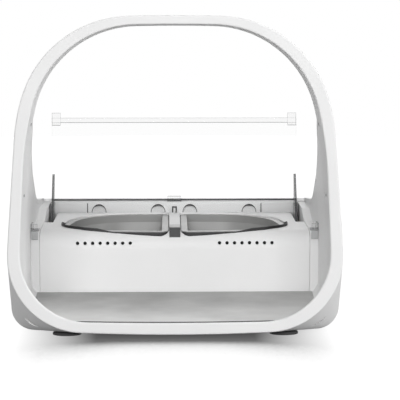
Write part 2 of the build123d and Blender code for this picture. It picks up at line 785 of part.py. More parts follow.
def make_weigh_plate():
    half = NOTCH_HALF - PANEL - 1
    sides = (at(TRAY_FRONT + PANEL + 1.5), at(slot_start() - PANEL - 1))
    return block((-half, half), sides, (PLATE_TOP - PANEL, PLATE_TOP - LEDGE_GAP / 3))


def bar_depth(station):
    return at(station - BAR_WIDE / 2), at(station + BAR_WIDE / 2)


def make_load_cells():
    """Two weighing bars with the two holes that make their middle flex."""
    cells = []
    for station in CELL_BARS:
        bar = block((-BAR_HALF, BAR_HALF), bar_depth(station), (BAR_LOW, BAR_LOW + BAR_TALL))
        for x in (-BAR_HOLE_X, BAR_HOLE_X):
            bar -= rod((x, at(station), BAR_LOW + BAR_TALL / 2), BAR_HOLE_R, 2 * BAR_WIDE, ALONG_Y)
        cells.append(bar)
    return Compound(cells)


def make_spacers():
    """The feet under one end of each bar, and the pads between its other end and the plate."""
    pads = []
    for station in CELL_BARS:
        depth = bar_depth(station)
        pads.append(block((-BAR_HALF, SPACER_LENGTH - BAR_HALF), depth, (WALL_FLOOR, BAR_LOW)))
        top = BAR_LOW + BAR_TALL
        pads.append(block((BAR_HALF - SPACER_LENGTH, BAR_HALF), depth, (top, top + SPACER_THICK)))
    return Compound(pads)


def make_bowl(side):
    """A half bowl: a flat rim, an upright upper wall and a closing lower wall."""
    shoulder = BOWL_RIM - BOWL_LIP
    foot = BOWL_RIM - BOWL_DEPTH
    lower = BOWL_FLANGE + BOWL_TAPER
    outer = plate(half_bowl(side, 0, 0), BOWL_RIM - BOWL_EDGE, BOWL_RIM)
    outer += plate(half_bowl(side, BOWL_FLANGE, 0), shoulder, BOWL_RIM)
    outer += span_solid(half_bowl(side, lower, foot), half_bowl(side, BOWL_FLANGE, shoulder))
    inside = plate(half_bowl(side, BOWL_FLANGE + BOWL_WALL, 0), shoulder, BOWL_RIM + 1)
    floor = half_bowl(side, lower + BOWL_WALL, foot + BOWL_WALL)
    inside += span_solid(floor, half_bowl(side, BOWL_FLANGE + BOWL_WALL, shoulder))
    return outer - inside


def make_bridge():
    """The raised block between the bowls' fronts, and the pad on its front."""
    front = at(TRAY_FRONT + FIT + BRIDGE_SET)
    base = DECK + 0.1
    low = DECK - BRIDGE_NOSE
    body = block((-BRIDGE_HALF, BRIDGE_HALF), (front + PAD_THICK, front + BRIDGE_LENGTH), (base, BRIDGE_TOP))
    nose = block((-BRIDGE_HALF, BRIDGE_HALF), (front + PAD_THICK, front + BRIDGE_LENGTH / 2), (low, base))
    body += nose - tray_form(-0.1)
    pad = block((-BRIDGE_HALF, BRIDGE_HALF), (front, front + PAD_THICK), (low, BRIDGE_TOP - 0.5))
    return body, pad - tray_form(-0.1)


# ================================================================ lights
def light_spots(side):
    return [side * (LIGHT_FIRST + i * LIGHT_PITCH) for i in range(LIGHTS)]


def light(x, radius, sunk):
    """One light rod, level, with its front face just inside the tray's rounded edge."""
    drop = LIGHT_HEIGHT - (DECK - DECK_ROUND)
    face = TRAY_FRONT + FIT + DECK_ROUND - math.sqrt(DECK_ROUND**2 - drop**2)
    length = LIGHT_LENGTH if sunk else 3 * LIGHT_LENGTH
    start = face + sunk if sunk else face - LIGHT_LENGTH
    return rod((x, at(start + length / 2), LIGHT_HEIGHT), radius, length, ALONG_Y)


def make_lights(side):
    return Compound([light(x, LIGHT_R, LIGHT_SET_BACK) for x in light_spots(side)])


def make_light_board(side):
    back = light(0, LIGHT_R, LIGHT_SET_BACK).bounding_box().max.Y
    spots = sorted((side * (LIGHT_FIRST - LIGHT_PITCH), side * (LIGHT_FIRST + LIGHTS * LIGHT_PITCH)))
    tall = (LIGHT_HEIGHT - LIGHT_BOARD_DROP, LIGHT_HEIGHT + LIGHT_BOARD_RISE)
    return block(spots, (back, back + BOARD), tall)


# ================================================================ lid
def make_lid():
    """The lid as it stands open: a clear sheet with a bar along its leading edge."""
    middle = at(AXLE_STATION + LID_OFFSET)
    front, back = middle - LID_THICK / 2, middle + LID_THICK / 2
    tail, lead = AXLE_HEIGHT - LID_TAIL, AXLE_HEIGHT + LID_REACH
    sheet = block((-LID_HALF, LID_HALF), (front, back), (tail, lead - BAR_HEIGHT))
    bar = block((-LID_HALF, LID_HALF), (front, front + BAR_DEPTH), (lead - BAR_HEIGHT, lead))
    bar = fillet([e for e in bar.edges() if e.length > LID_HALF], 0.8)
    for side in (-1, 1):
        width = sorted((side * (LID_HALF - LUG_WIDTH), side * LID_HALF))
        lug = block(width, (back, back + LUG_DEPTH), (lead + LUG_RISE - LUG_HEIGHT, lead + LUG_RISE))
        bar += fillet(lug.edges().filter_by(Axis.X), 0.8)
    return sheet, bar


def make_arm(side):
    """One arm: a plate from the sheet to the hub, with the axle that turns in the bush."""
    inner, outer = LID_HALF - ARM_THICK, LID_HALF
    y0, z0 = at(AXLE_STATION), AXLE_HEIGHT
    sheet = at(AXLE_STATION + LID_OFFSET) - LID_THICK / 2
    reach = math.hypot(sheet - y0, ARM_GUSSET)
    lean = math.atan2(ARM_GUSSET, sheet - y0) + math.acos(ARM_HUB_R / reach)
    low_reach = math.hypot(sheet - y0, LID_TAIL)
    low_lean = -math.atan2(LID_TAIL, sheet - y0) - math.acos(ARM_HUB_R / low_reach)
    top = (y0 + ARM_HUB_R * math.cos(lean), z0 + ARM_HUB_R * math.sin(lean))
    low = (y0 + ARM_HUB_R * math.cos(low_lean), z0 + ARM_HUB_R * math.sin(low_lean))
    edges = [
        Line((inner, *top), (inner, sheet, z0 + ARM_GUSSET)),
        Line((inner, sheet, z0 + ARM_GUSSET), (inner, sheet, z0 - LID_TAIL)),
        Line((inner, sheet, z0 - LID_TAIL), (inner, *low)),
        ThreePointArc((inner, *low), (inner, y0 - ARM_HUB_R, z0), (inner, *top)),
    ]
    arm = extrude(Face(Wire(edges)), outer - inner, dir=ALONG_X)
    tip = GEAR_PLANE + GEAR_FACE / 2 + 0.3
    arm += rod(((outer + tip) / 2 - 0.5, y0, z0), AXLE_R, tip - outer + 1, ALONG_X)
    return arm if side > 0 else arm.mirror(Plane.YZ)


def make_bushes():
    rings = []
    for side in (-1, 1):
        centre = (side * (TUB_HALF + PANEL / 2), at(AXLE_STATION), AXLE_HEIGHT)
        ring = rod(centre, BUSH_R - 0.02, PANEL + 0.4, ALONG_X)
        rings.append(ring - rod(centre, AXLE_R + AXLE_CLEAR, 4 * PANEL, ALONG_X))
    return Compound(rings)


def make_rear_wall():
    """The upright wall behind the lid's slot, with four finger arches and two grooves in its face."""
    back = at(TRAY_REAR - DECK_GAP)
    front = at(WALL_FRONT)
    relief = at(AXLE_STATION) + math.hypot(LID_OFFSET + LID_THICK / 2, LID_TAIL) + SLOT_CLEAR + 0.1
    half = TUB_HALF - FIT
    wall = block((-half, half), (front, back), (WALL_RELIEF, REAR_WALL_TOP))
    top = [e for e in wall.edges().filter_by(Axis.X) if e.center().Z > REAR_WALL_TOP - 0.1]
    wall = fillet([e for e in top if e.center().Y < front + 0.1], WALL_ROUND)
    wall += block((-half, half), (relief, back), (WALL_FLOOR, WALL_RELIEF)) & tub(FIT)
    for x in ARCHES:
        arch = rod((x, front, WALL_RELIEF + 1), ARCH_R, 2 * ARCH_DEEP, ALONG_Y)
        wall -= arch
    for side in (-1, 1):
        width = sorted((side * GROOVE_X, side * (GROOVE_X + GROOVE_WIDTH)))
        wall -= block(width, (front - 1, front + GROOVE_DEEP), (0, HEIGHT))
    return wall


def make_lid_stop():
    """The clear bump on the rear wall that the open lid leans against."""
    front = at(AXLE_STATION + LID_OFFSET) + LID_THICK / 2 + STOP_GAP
    back = at(TRAY_REAR - DECK_GAP)
    stop = block((-STOP_HALF, STOP_HALF), (front, back), (REAR_WALL_TOP, REAR_WALL_TOP + STOP_TALL))
    return fillet([e for e in stop.edges() if e.center().Z > REAR_WALL_TOP + STOP_TALL - 0.1], 1.0)


def make_catch(side):
    """The tab on the step beside the tray's front corner."""
    width = sorted((side * CATCH_X, side * (CATCH_X + CATCH_WIDTH)))
    tab = block(width, (at(TRAY_FRONT - CATCH_DEEP), at(TRAY_FRONT)), (CATCH_LOW, CATCH_LOW + CATCH_TALL))
    return fillet(tab.edges().filter_by(Axis.X), 0.5)


# ================================================================ drive
def gear(teeth, bore_r, centre, phase):
    """A spur gear with involute flanks in the drive's plane. phase is one tooth's angle in radians."""
    pitch_r = GEAR_MODULE * teeth / 2
    base_r = pitch_r * math.cos(math.radians(PRESSURE))
    root_r = pitch_r - GEAR_DEDENDUM * GEAR_MODULE
    tip_r = pitch_r + GEAR_ADDENDUM * GEAR_MODULE
    slope = math.radians(PRESSURE)
    half = math.pi / 2 / teeth - GEAR_BACKLASH / 2 / pitch_r + math.tan(slope) - slope
    flank = []
    for step in range(5):
        radius = max(root_r, base_r) + step / 4 * (tip_r - max(root_r, base_r))
        roll = math.acos(min(1, base_r / radius))
        flank.append((radius, half - math.tan(roll) + roll))
    if root_r < base_r:
        flank.insert(0, (root_r, flank[0][1]))
    points = []
    for tooth in range(teeth):
        angle = phase + 2 * math.pi * tooth / teeth
        points += [(r, angle - offset) for r, offset in flank]
        points += [(r, angle + offset) for r, offset in reversed(flank)]
    start = -GEAR_PLANE - GEAR_FACE / 2
    ring = [(start, centre[0] + r * math.cos(a), centre[1] + r * math.sin(a)) for r, a in points]
    blank = extrude(Face(Wire(Polyline(*ring, close=True).edges())), GEAR_FACE, dir=ALONG_X)
    return blank - rod((-GEAR_PLANE, *centre), bore_r, 3 * GEAR_FACE, ALONG_X) if bore_r else blank


def meshing_phase(phase, teeth, other_teeth, angle):
    """The phase of a gear whose gap meets a neighbour's tooth. angle points from the neighbour to it."""
    pitch = math.pi * GEAR_MODULE
    offset = (phase - angle) * GEAR_MODULE * teeth / 2 + pitch / 2
    return angle + math.pi - offset / (GEAR_MODULE * other_teeth / 2)


def make_gears():
    """The lid's gear, the idler and the motor's pinion in mesh, with the idler's pin and the motor's axis."""
    lid_centre = (at(AXLE_STATION), AXLE_HEIGHT)
    apart = GEAR_MODULE * (LID_TEETH + IDLER_TEETH) / 2
    run = math.sqrt(apart**2 - IDLER_DROP**2)
    idler_centre = (lid_centre[0] + run, AXLE_HEIGHT - IDLER_DROP)
    pinion_centre = (idler_centre[0] + GEAR_MODULE * (IDLER_TEETH + PINION_TEETH) / 2, idler_centre[1])
    idler_phase = meshing_phase(0, LID_TEETH, IDLER_TEETH, -math.asin(IDLER_DROP / apart))
    pinion_phase = meshing_phase(idler_phase, IDLER_TEETH, PINION_TEETH, 0)
    lid_gear = gear(LID_TEETH, AXLE_R + AXLE_CLEAR, lid_centre, 0)
    idler = gear(IDLER_TEETH, PIN_R + AXLE_CLEAR, idler_centre, idler_phase)
    pinion = gear(PINION_TEETH, 0, pinion_centre, pinion_phase)
    return lid_gear, idler, pinion, idler_centre, pinion_centre


def make_drive():
    lid_gear, idler, pinion, idler_centre, motor_centre = make_gears()
    outer = GEAR_PLANE + GEAR_FACE / 2
    wall = TUB_HALF + PANEL
    pin = rod((-(wall + outer + 0.1) / 2, *idler_centre), PIN_R, outer + 0.1 - wall, ALONG_X)
    pin += rod((-outer - 0.1 - 0.35, *idler_centre), PIN_R + 1.2, 0.7, ALONG_X)
    deep = MOTOR_FACE - SHAFT_SUNK
    pinion += rod((-(deep + GEAR_PLANE) / 2, *motor_centre), SHAFT_R, GEAR_PLANE - deep, ALONG_X)
    motor = rod((-(MOTOR_FACE - MOTOR_LENGTH / 2), *motor_centre), MOTOR_R, MOTOR_LENGTH, ALONG_X)
    motor -= rod((-MOTOR_FACE, *motor_centre), SHAFT_R + AXLE_CLEAR, 2 * (SHAFT_SUNK + 0.3), ALONG_X)
    low = UNDERSIDE + SKIN + FIT / 2
    inner = -MOTOR_FACE + MOTOR_LENGTH - 3
    depth = (motor_centre[0] - CRADLE_DEPTH / 2, motor_centre[0] + CRADLE_DEPTH / 2)
    cradle = block((inner - CRADLE_WIDTH, inner), depth, (low, motor_centre[1]))
    cradle -= rod((-MOTOR_FACE, *motor_centre), MOTOR_R + FIT, 4 * MOTOR_LENGTH, ALONG_X)
    return {
        "lid_gear": lid_gear,
        "idler_gear": idler,
        "idler_pin": pin,
        "motor_pinion": pinion,
        "gear_motor": motor,
        "motor_cradle": cradle & housing_form(HOOP_DEPTH, SKIN + FIT / 2),
    }


# ================================================================ power
def box_end():
    return BOX_START + 2 * CELL_MARGIN + 2 * CELL_R + CELL_PITCH + 2 * PANEL


def cell_stations():
    first = BOX_START + PANEL + CELL_MARGIN + CELL_R
    return [first, first + CELL_PITCH]


def make_battery_box():
    """Two compartments open underneath, side by side."""
    half = BOX_MID + CELL_LENGTH / 2 + CONTACT_ROOM + PANEL
    low = UNDERSIDE + SKIN + FIT
    top = CELL_HEIGHT + CELL_R + CELL_MARGIN + PANEL
    box = block((-half, half), (at(BOX_START), at(box_end())), (low, top))
    for side in (-1, 1):
        room = CELL_LENGTH / 2 + CONTACT_ROOM
        width = (side * BOX_MID - room, side * BOX_MID + room)
        box -= block(width, (at(BOX_START + PANEL), at(box_end() - PANEL)), (low - 1, top - PANEL))
    return box


def make_cells():
    """Four cells, each with the button of its positive end, in alternate directions."""
    cells = []
    for side in (-1, 1):
        for row, station in enumerate(cell_stations()):
            way = 1 if row else -1
            y, middle = at(station), side * BOX_MID - way * NUB_LENGTH / 2
            tip = middle + way * CELL_LENGTH / 2
            body = rod((middle, y, CELL_HEIGHT), CELL_R, CELL_LENGTH - NUB_LENGTH, ALONG_X)
            cells.append(body + rod((tip, y, CELL_HEIGHT), NUB_R, NUB_LENGTH, ALONG_X))
    return Compound(cells)


def make_contacts():
    """A contact plate at each end of each cell."""
    plates = []
    for side in (-1, 1):
        for end in (-1, 1):
            near = side * BOX_MID + end * CELL_LENGTH / 2
            width = sorted((near, near + end * CONTACT_ROOM))
            for station in cell_stations():
                depth = (at(station - CELL_R / 2), at(station + CELL_R / 2))
                plates.append(block(width, depth, (CELL_HEIGHT - CONTACT_HALF, CELL_HEIGHT + CONTACT_HALF)))
    return Compound(plates)


def make_door(side):
    """One battery door, flush with the housing's underside, with two thumb grooves."""
    door = plate(door_outline(side, 0), UNDERSIDE, UNDERSIDE + SKIN)
    for row in (-1, 0, 1):
        groove = (side * BOX_MID + row * 4 - 0.8, side * BOX_MID + row * 4 + 0.8)
        door -= block(groove, (at(box_end() - 16), at(box_end() - 6)), (0, UNDERSIDE + 0.6))
    return door


# ================================================================ controls
def make_button():
    """A round cap through the rear deck, held from below by a flange, with a stem for its switch."""
    cap = Pos(0, 0, (BUTTON_PROUD - SKIN - 0.4) / 2) * Cylinder(BUTTON_R, BUTTON_PROUD + SKIN + 0.4)
    cap = fillet([e for e in cap.edges() if e.center().Z > BUTTON_PROUD - 0.1], 0.6)
    flange = Pos(0, 0, -SKIN - BUTTON_GAP - 0.6) * Cylinder(BUTTON_R + 1.4, 1.2)
    reach = BOARD_DEPTH - SWITCH_TALL - BUTTON_TRAVEL - 0.1
    return cap + flange + Pos(0, 0, -(reach + SKIN) / 2) * Cylinder(2.5, reach - SKIN)


def make_board():
    """The main board under the rear deck, parallel to it, and its switches and screws."""
    place = deck_place(0, BUTTON_STATION)
    width = (BOARD_LEFT, BOARD_RIGHT)
    board = block(width, BOARD_REACH, (-BOARD_DEPTH - BOARD, -BOARD_DEPTH))
    spots = [(x, station) for x, station in board_corners()]
    board = place * board
    screws = []
    for x, station in spots:
        spot = deck_place(x, station) * Pos(0, 0, -BOARD_DEPTH - BOARD)
        board -= spot * Cylinder(SCREW_R + FIT, 6 * BOARD)
        screws.append(spot * screw(SCREW_LENGTH - 1))
    switches = []
    for x in BUTTONS.values():
        body = Pos(0, 0, -BOARD_DEPTH + SWITCH_TALL / 2) * Box(6, 6, SWITCH_TALL)
        switches.append(deck_place(x, BUTTON_STATION) * body)
    return board, Compound(switches), Compound(screws)


# ================================================================ assembly
def all_parts():
    parts = {}
    parts["hoop_front"], parts["hoop_rear_cover"], parts["antenna_coil"] = make_hoop()
    parts["ir_windows"] = make_ir_windows()
    parts["housing"] = make_housing()
    parts["tunnel_liner"] = make_liner()
    parts["base_cover"] = make_base_cover()
    parts["base_screws"] = make_base_screws()
    parts["rubber_feet"] = make_feet()
    parts["mat"] = make_mat()
    parts["bowl_tray"] = make_tray()
    parts["weigh_plate"] = make_weigh_plate()
    parts["load_cells"] = make_load_cells()
    parts["load_cell_spacers"] = make_spacers()
    parts["bridge_block"], parts["bridge_pad"] = make_bridge()
    parts["lid_sheet"], parts["lid_bar"] = make_lid()
    parts["axle_bushes"] = make_bushes()
    parts["rear_wall"] = make_rear_wall()
    parts["lid_stop"] = make_lid_stop()
    parts["battery_box"] = make_battery_box()
    parts["battery_cells"] = make_cells()
    parts["battery_contacts"] = make_contacts()
    parts["main_board"], parts["button_switches"], parts["board_screws"] = make_board()
    parts.update(make_drive())
    for name, side in (("left", -1), ("right", 1)):
        parts[f"bowl_{name}"] = make_bowl(side)
        parts[f"light_windows_{name}"] = make_lights(side)
        parts[f"light_board_{name}"] = make_light_board(side)
        parts[f"lid_arm_{name}"] = make_arm(side)
        parts[f"corner_catch_{name}"] = make_catch(side)
        parts[f"battery_door_{name}"] = make_door(side)
    for name, x in BUTTONS.items():
        parts[f"button_{name}"] = deck_place(x, BUTTON_STATION) * make_button()
    return parts


def main():
    os.makedirs("parts", exist_ok=True)
    for name, shape in all_parts().items():
        export_step(shape, f"parts/{name}.step")


main()
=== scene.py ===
# %% [markdown]
# # A microchip pet feeder, dressed for a studio picture
#
# The frame that loads first is the finished construction: every casing, bowl, gear and screw as its
# own node, at its real size. This lesson adds the finishes and the small trim, then the studio. All
# lengths are metres. A millimetre is written as a number times MM.

# %% Load the frame
import json
import math

import bpy
import bmesh
from mathutils import Matrix, Vector


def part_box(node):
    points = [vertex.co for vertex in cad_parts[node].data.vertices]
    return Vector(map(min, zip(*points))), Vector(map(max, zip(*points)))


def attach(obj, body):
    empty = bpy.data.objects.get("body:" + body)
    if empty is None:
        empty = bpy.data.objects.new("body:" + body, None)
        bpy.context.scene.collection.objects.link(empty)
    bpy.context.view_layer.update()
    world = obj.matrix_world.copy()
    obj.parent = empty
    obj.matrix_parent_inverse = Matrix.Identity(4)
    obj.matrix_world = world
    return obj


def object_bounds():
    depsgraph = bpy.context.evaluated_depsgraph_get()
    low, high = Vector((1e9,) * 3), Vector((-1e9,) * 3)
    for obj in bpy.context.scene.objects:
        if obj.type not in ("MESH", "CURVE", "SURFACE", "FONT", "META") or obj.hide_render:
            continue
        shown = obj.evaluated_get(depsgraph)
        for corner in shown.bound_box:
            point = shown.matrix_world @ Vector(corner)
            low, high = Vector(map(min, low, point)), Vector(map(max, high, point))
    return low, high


MM = 0.001
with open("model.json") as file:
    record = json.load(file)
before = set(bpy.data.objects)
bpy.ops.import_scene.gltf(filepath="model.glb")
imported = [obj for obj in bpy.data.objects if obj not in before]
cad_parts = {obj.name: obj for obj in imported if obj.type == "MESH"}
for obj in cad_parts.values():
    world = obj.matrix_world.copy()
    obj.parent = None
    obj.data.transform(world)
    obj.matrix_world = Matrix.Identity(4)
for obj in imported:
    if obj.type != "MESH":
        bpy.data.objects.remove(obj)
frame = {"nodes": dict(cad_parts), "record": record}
NODES = frame["nodes"]
CAD_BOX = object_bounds()
box_mm = [round((high - low) / MM, 1) for low, high in zip(*CAD_BOX)]
print("construction:", len(NODES), "nodes in a box of", box_mm, "mm")


# %% [markdown]
# ## Colours and shader nodes
#
# A colour is written as the hex value that a screen shows, and one function turns it to the linear
# numbers that Blender's shaders want. One more function adds a shader node with its settings and
# its inputs. An input may be a plain value or another node's socket. That keeps each material below
# down to a few readable lines.

# %% Helpers for materials
def linear(hex_colour):
    """A colour such as "#E8E8E6" as linear RGBA."""
    channels = [int(hex_colour[i : i + 2], 16) / 255 for i in (1, 3, 5)]
    curve = [c / 12.92 if c <= 0.04045 else ((c + 0.055) / 1.055) ** 2.4 for c in channels]
    return (*curve, 1.0)


def add(tree, kind, inputs=None, **settings):
    """Adds a node. inputs maps a socket's name or number to a value or to the socket that feeds it."""
    node = tree.nodes.new(kind)
    for name, value in settings.items():
        setattr(node, name, value)
    for key, value in (inputs or {}).items():
        if isinstance(value, bpy.types.NodeSocket):
            tree.links.new(value, node.inputs[key])
        else:
            node.inputs[key].default_value = value
    return node


def new_material(name):
    """A material with an empty tree, its output node and the object's own coordinates."""
    material = bpy.data.materials.new(name)
    material.use_nodes = True
    tree = material.node_tree
    tree.nodes.clear()
    output = add(tree, "ShaderNodeOutputMaterial")
    place = add(tree, "ShaderNodeTexCoord").outputs["Object"]
    return material, tree, output, place


def blend_colours(tree, factor, first, second):
    """Mixes two colours by a factor socket. A Mix node keeps its colour sockets at 6 and 7, and at 2."""
    mix = add(tree, "ShaderNodeMix", {0: factor, 6: first, 7: second}, data_type="RGBA")
    return mix.outputs[2]


# %% [markdown]
# ## Moulded plastic
#
# Most of the feeder is injection-moulded. The mould's fine spark texture scatters the light a
# little, and the melt leaves very faint, slow changes of tone and gloss. So every moulded finish
# here is one recipe: a fine bump whose grain is a real size in millimetres, a slow noise that moves
# the colour between two close values, and a roughness that drifts by a few hundredths.

# %% The moulded recipe
def moulded(name, shade, second_shade, roughness, grain_mm, depth_mm, drift_mm=45.0, ior=1.5):
    """A moulded plastic. grain_mm is the size of the mould's texture, drift_mm that of the slow changes."""
    material, tree, output, place = new_material(name)
    drift = add(tree, "ShaderNodeTexNoise", {"Vector": place, "Scale": 1 / (drift_mm * MM), "Detail": 2.0})
    tone = add(tree, "ShaderNodeMapRange", {"Value": drift.outputs[0], "From Min": 0.35, "From Max": 0.65})
    colour = blend_colours(tree, tone.outputs[0], linear(shade), linear(second_shade))
    wear = {"From Min": 0.3, "From Max": 0.7, "To Min": roughness - 0.03, "To Max": roughness + 0.04}
    gloss = add(tree, "ShaderNodeMapRange", {"Value": drift.outputs[0], **wear})
    grain = add(tree, "ShaderNodeTexNoise", {"Vector": place, "Scale": 1 / (grain_mm * MM), "Detail": 3.0})
    texture = {"Height": grain.outputs[0], "Strength": 0.6, "Distance": depth_mm * MM}
    bump = add(tree, "ShaderNodeBump", texture)
    surface = add(
        tree,
        "ShaderNodeBsdfPrincipled",
        {"Base Color": colour, "Roughness": gloss.outputs[0], "Normal": bump.outputs[0], "IOR": ior},
    )
    tree.links.new(surface.outputs[0], output.inputs[0])
    return material


# %% [markdown]
# ## The feeder's plastics
#
# The casings are white ABS with a satin mould finish: soft, even and with no mirror. The fine
# texture breaks up the gloss, so their index is set below the 1.5 of plain ABS. The bowls are a
# mid-grey ABS, smoother because food has to wipe off. The dark pad between them is painted shade
# for the hollow there, with a rubber finish. The inner trim and the battery doors are a lighter
# grey. The infrared windows pass no visible light and are moulded with a dull face, so they look
# black from any side.

# %% Finishes of the moulded pieces
white_abs = moulded("white_satin_abs", "#F5F5F5", "#F2F2F2", 0.45, 1.3, 0.008, ior=1.22)
bowl_abs = moulded("bowl_grey_abs", "#9A9A99", "#939392", 0.36, 0.9, 0.006, drift_mm=30)
trim_abs = moulded("light_grey_abs", "#C3C4C4", "#BDBEBF", 0.4, 0.5, 0.012)
button_abs = moulded("button_grey_abs", "#8D9093", "#868A8D", 0.45, 0.35, 0.012)
# Black nylon also draws painted shade: the bowls' gap strips, the arch lines and the sill bead.
black_nylon = moulded("black_nylon", "#1A1A1B", "#222223", 0.5, 0.6, 0.015)
acetal = moulded("natural_acetal", "#E9E6DC", "#E2DFD4", 0.42, 0.3, 0.01)
foot_rubber = moulded("foot_rubber", "#2B2B2C", "#353536", 0.75, 0.7, 0.03)
# This dark grey is painted shade: the hollow between the bowls, the rear gap and the wall's grooves.
pad_rubber = moulded("pad_rubber", "#4A4A4B", "#444445", 0.7, 0.6, 0.03)
dark_window = moulded("infrared_window", "#0B0B0C", "#101011", 0.55, 1.5, 0.003, ior=1.3)
cell_sleeve = moulded("cell_sleeve", "#33383F", "#2C3138", 0.3, 2.0, 0.004)
print("materials with the moulded finishes, and the construction's own:", len(bpy.data.materials))


# %% [markdown]
# ## The mat
#
# The mat in the tunnel is a thin sheet of soft thermoplastic with a pebble grain, which keeps paws
# from slipping. A Voronoi texture gives the pebbles, drawn 2.4 mm apart, coarser than the real
# grain so that they still show at this size, and noise breaks up their edges. The mat is painted
# paler towards the front, as painted light from the front lamp, with a slow random change of tone.

# %% Mat finish
PEBBLE, PEBBLE_DEPTH, PEBBLE_WOBBLE = 2.4 * MM, 0.12 * MM, 0.8 * MM


def mat_finish():
    """A pebbled elastomer, painted paler towards the front as painted light."""
    material, tree, output, place = new_material("mat_elastomer")
    wobble = add(tree, "ShaderNodeTexNoise", {"Vector": place, "Scale": 1 / (3 * MM), "Detail": 2.0})
    wobbling = {0: wobble.outputs[1], 1: (PEBBLE_WOBBLE,) * 3}
    shifted = add(tree, "ShaderNodeVectorMath", wobbling, operation="MULTIPLY")
    moved = add(tree, "ShaderNodeVectorMath", {0: place, 1: shifted.outputs[0]}, operation="ADD")
    pattern = {"Vector": moved.outputs[0], "Scale": 1 / PEBBLE}
    pebble = add(tree, "ShaderNodeTexVoronoi", pattern, feature="SMOOTH_F1")
    texture = {"Height": pebble.outputs[0], "Strength": 0.5, "Distance": PEBBLE_DEPTH}
    bump = add(tree, "ShaderNodeBump", texture, invert=True)
    drift = add(tree, "ShaderNodeTexNoise", {"Vector": place, "Scale": 1 / (40 * MM), "Detail": 3.0})
    depth = add(tree, "ShaderNodeSeparateXYZ", {0: place}).outputs["Y"]
    front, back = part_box("mat")[0][1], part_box("mat")[1][1]
    # Painted light: the colour ramps paler from back to front, where the front lamp falls, plus a slow random
    # change of tone.
    ramp = add(tree, "ShaderNodeMapRange", {"Value": depth, "From Min": back, "From Max": front})
    wavy = add(tree, "ShaderNodeMath", {0: ramp.outputs[0], 1: drift.outputs[0]}, operation="ADD")
    painted_front_light = add(tree, "ShaderNodeMath", {0: wavy.outputs[0], 1: 0.5}, operation="SUBTRACT", use_clamp=True)
    colour = blend_colours(tree, painted_front_light.outputs[0], linear("#A6A6A5"), linear("#EAEAE9"))
    surface = add(
        tree,
        "ShaderNodeBsdfPrincipled",
        {"Base Color": colour, "Roughness": 0.62, "Normal": bump.outputs[0], "IOR": 1.5},
    )
    tree.links.new(surface.outputs[0], output.inputs[0])
    return material


mat_rubber = mat_finish()
print("mat pebbles", round(PEBBLE / MM, 1), "mm apart")


# %% [markdown]
# ## The clear lid
#
# The lid is moulded in clear polycarbonate. Its polished faces are almost invisible, and its edges
# look grey because light that enters them stays inside. The sheet, its bar and its hooks touch each
# other, and refraction goes wrong where two clear pieces share a face, so each is drawn as a pane:
# a glossy surface with the real index of 1.58 that lets most light straight through. A facing term
# makes more of it show where the surface turns away from the eye, as the rounded edge of a real bar
# does. The arms are seen along their whole depth, so they are the darkest.

# %% Clear finishes
def clear_moulding(name, shade, least, most, roughness):
    """Clear plastic as a pane. least is how much of it shows face on, most where it turns away."""
    material, tree, output, place = new_material(name)
    facing = add(tree, "ShaderNodeLayerWeight", {"Blend": 0.35}).outputs["Facing"]
    haze = add(tree, "ShaderNodeTexNoise", {"Vector": place, "Scale": 1 / (8 * MM), "Detail": 2.0})
    gloss = {"Value": haze.outputs[0], "To Min": roughness, "To Max": roughness + 0.04}
    ramp = add(tree, "ShaderNodeMapRange", gloss)
    showing = {"Value": facing, "From Min": 0.15, "From Max": 0.6, "To Min": least, "To Max": most}
    shown = add(tree, "ShaderNodeMapRange", showing)
    surface = add(
        tree,
        "ShaderNodeBsdfPrincipled",
        {"Base Color": linear(shade), "Roughness": ramp.outputs[0], "IOR": 1.58, "Alpha": shown.outputs[0]},
    )
    tree.links.new(surface.outputs[0], output.inputs[0])
    return material


clear_lid = clear_moulding("clear_polycarbonate", "#8E9292", 0.012, 0.6, 0.03)
clear_trim = clear_moulding("clear_moulded_trim", "#8A8C8E", 0.05, 0.95, 0.05)
clear_edge = clear_moulding("clear_edge_on", "#3C3D3F", 0.75, 0.9, 0.08)
print("clear finishes:", clear_lid.name, clear_trim.name, clear_edge.name)


# %% [markdown]
# ## Metals and boards
#
# The screws and contacts are zinc-plated steel, the weighing bars machined aluminium, the coil
# enamelled copper and the circuit boards glass fibre under green solder mask. They are inside, but
# a reader who opens the casing finds them finished too. A stretched noise draws the machining
# lines.

# %% Metal and board finishes
def metal(name, shade, roughness, stretch, line_mm):
    """A bare metal whose fine lines lie line_mm apart, drawn out along the axis with the small stretch."""
    material, tree, output, place = new_material(name)
    lines = add(tree, "ShaderNodeMapping", {"Vector": place, "Scale": stretch})
    pattern = {"Vector": lines.outputs[0], "Scale": 1 / (line_mm * MM), "Detail": 2.0}
    noise = add(tree, "ShaderNodeTexNoise", pattern)
    bump = add(tree, "ShaderNodeBump", {"Height": noise.outputs[0], "Strength": 0.3, "Distance": 0.02 * MM})
    surface = add(
        tree,
        "ShaderNodeBsdfPrincipled",
        {"Base Color": linear(shade), "Metallic": 1.0, "Roughness": roughness, "Normal": bump.outputs[0]},
    )
    tree.links.new(surface.outputs[0], output.inputs[0])
    return material


zinc_steel = metal("zinc_plated_steel", "#C9CACC", 0.32, (1, 1, 1), 0.8)
motor_can = metal("plated_motor_can", "#B4B6B8", 0.36, (0.05, 1, 1), 0.4)
bar_aluminium = metal("machined_aluminium", "#D6D8DA", 0.3, (0.05, 1, 1), 0.5)
coil_copper = metal("enamelled_copper", "#B4693C", 0.35, (1, 1, 0.05), 0.4)


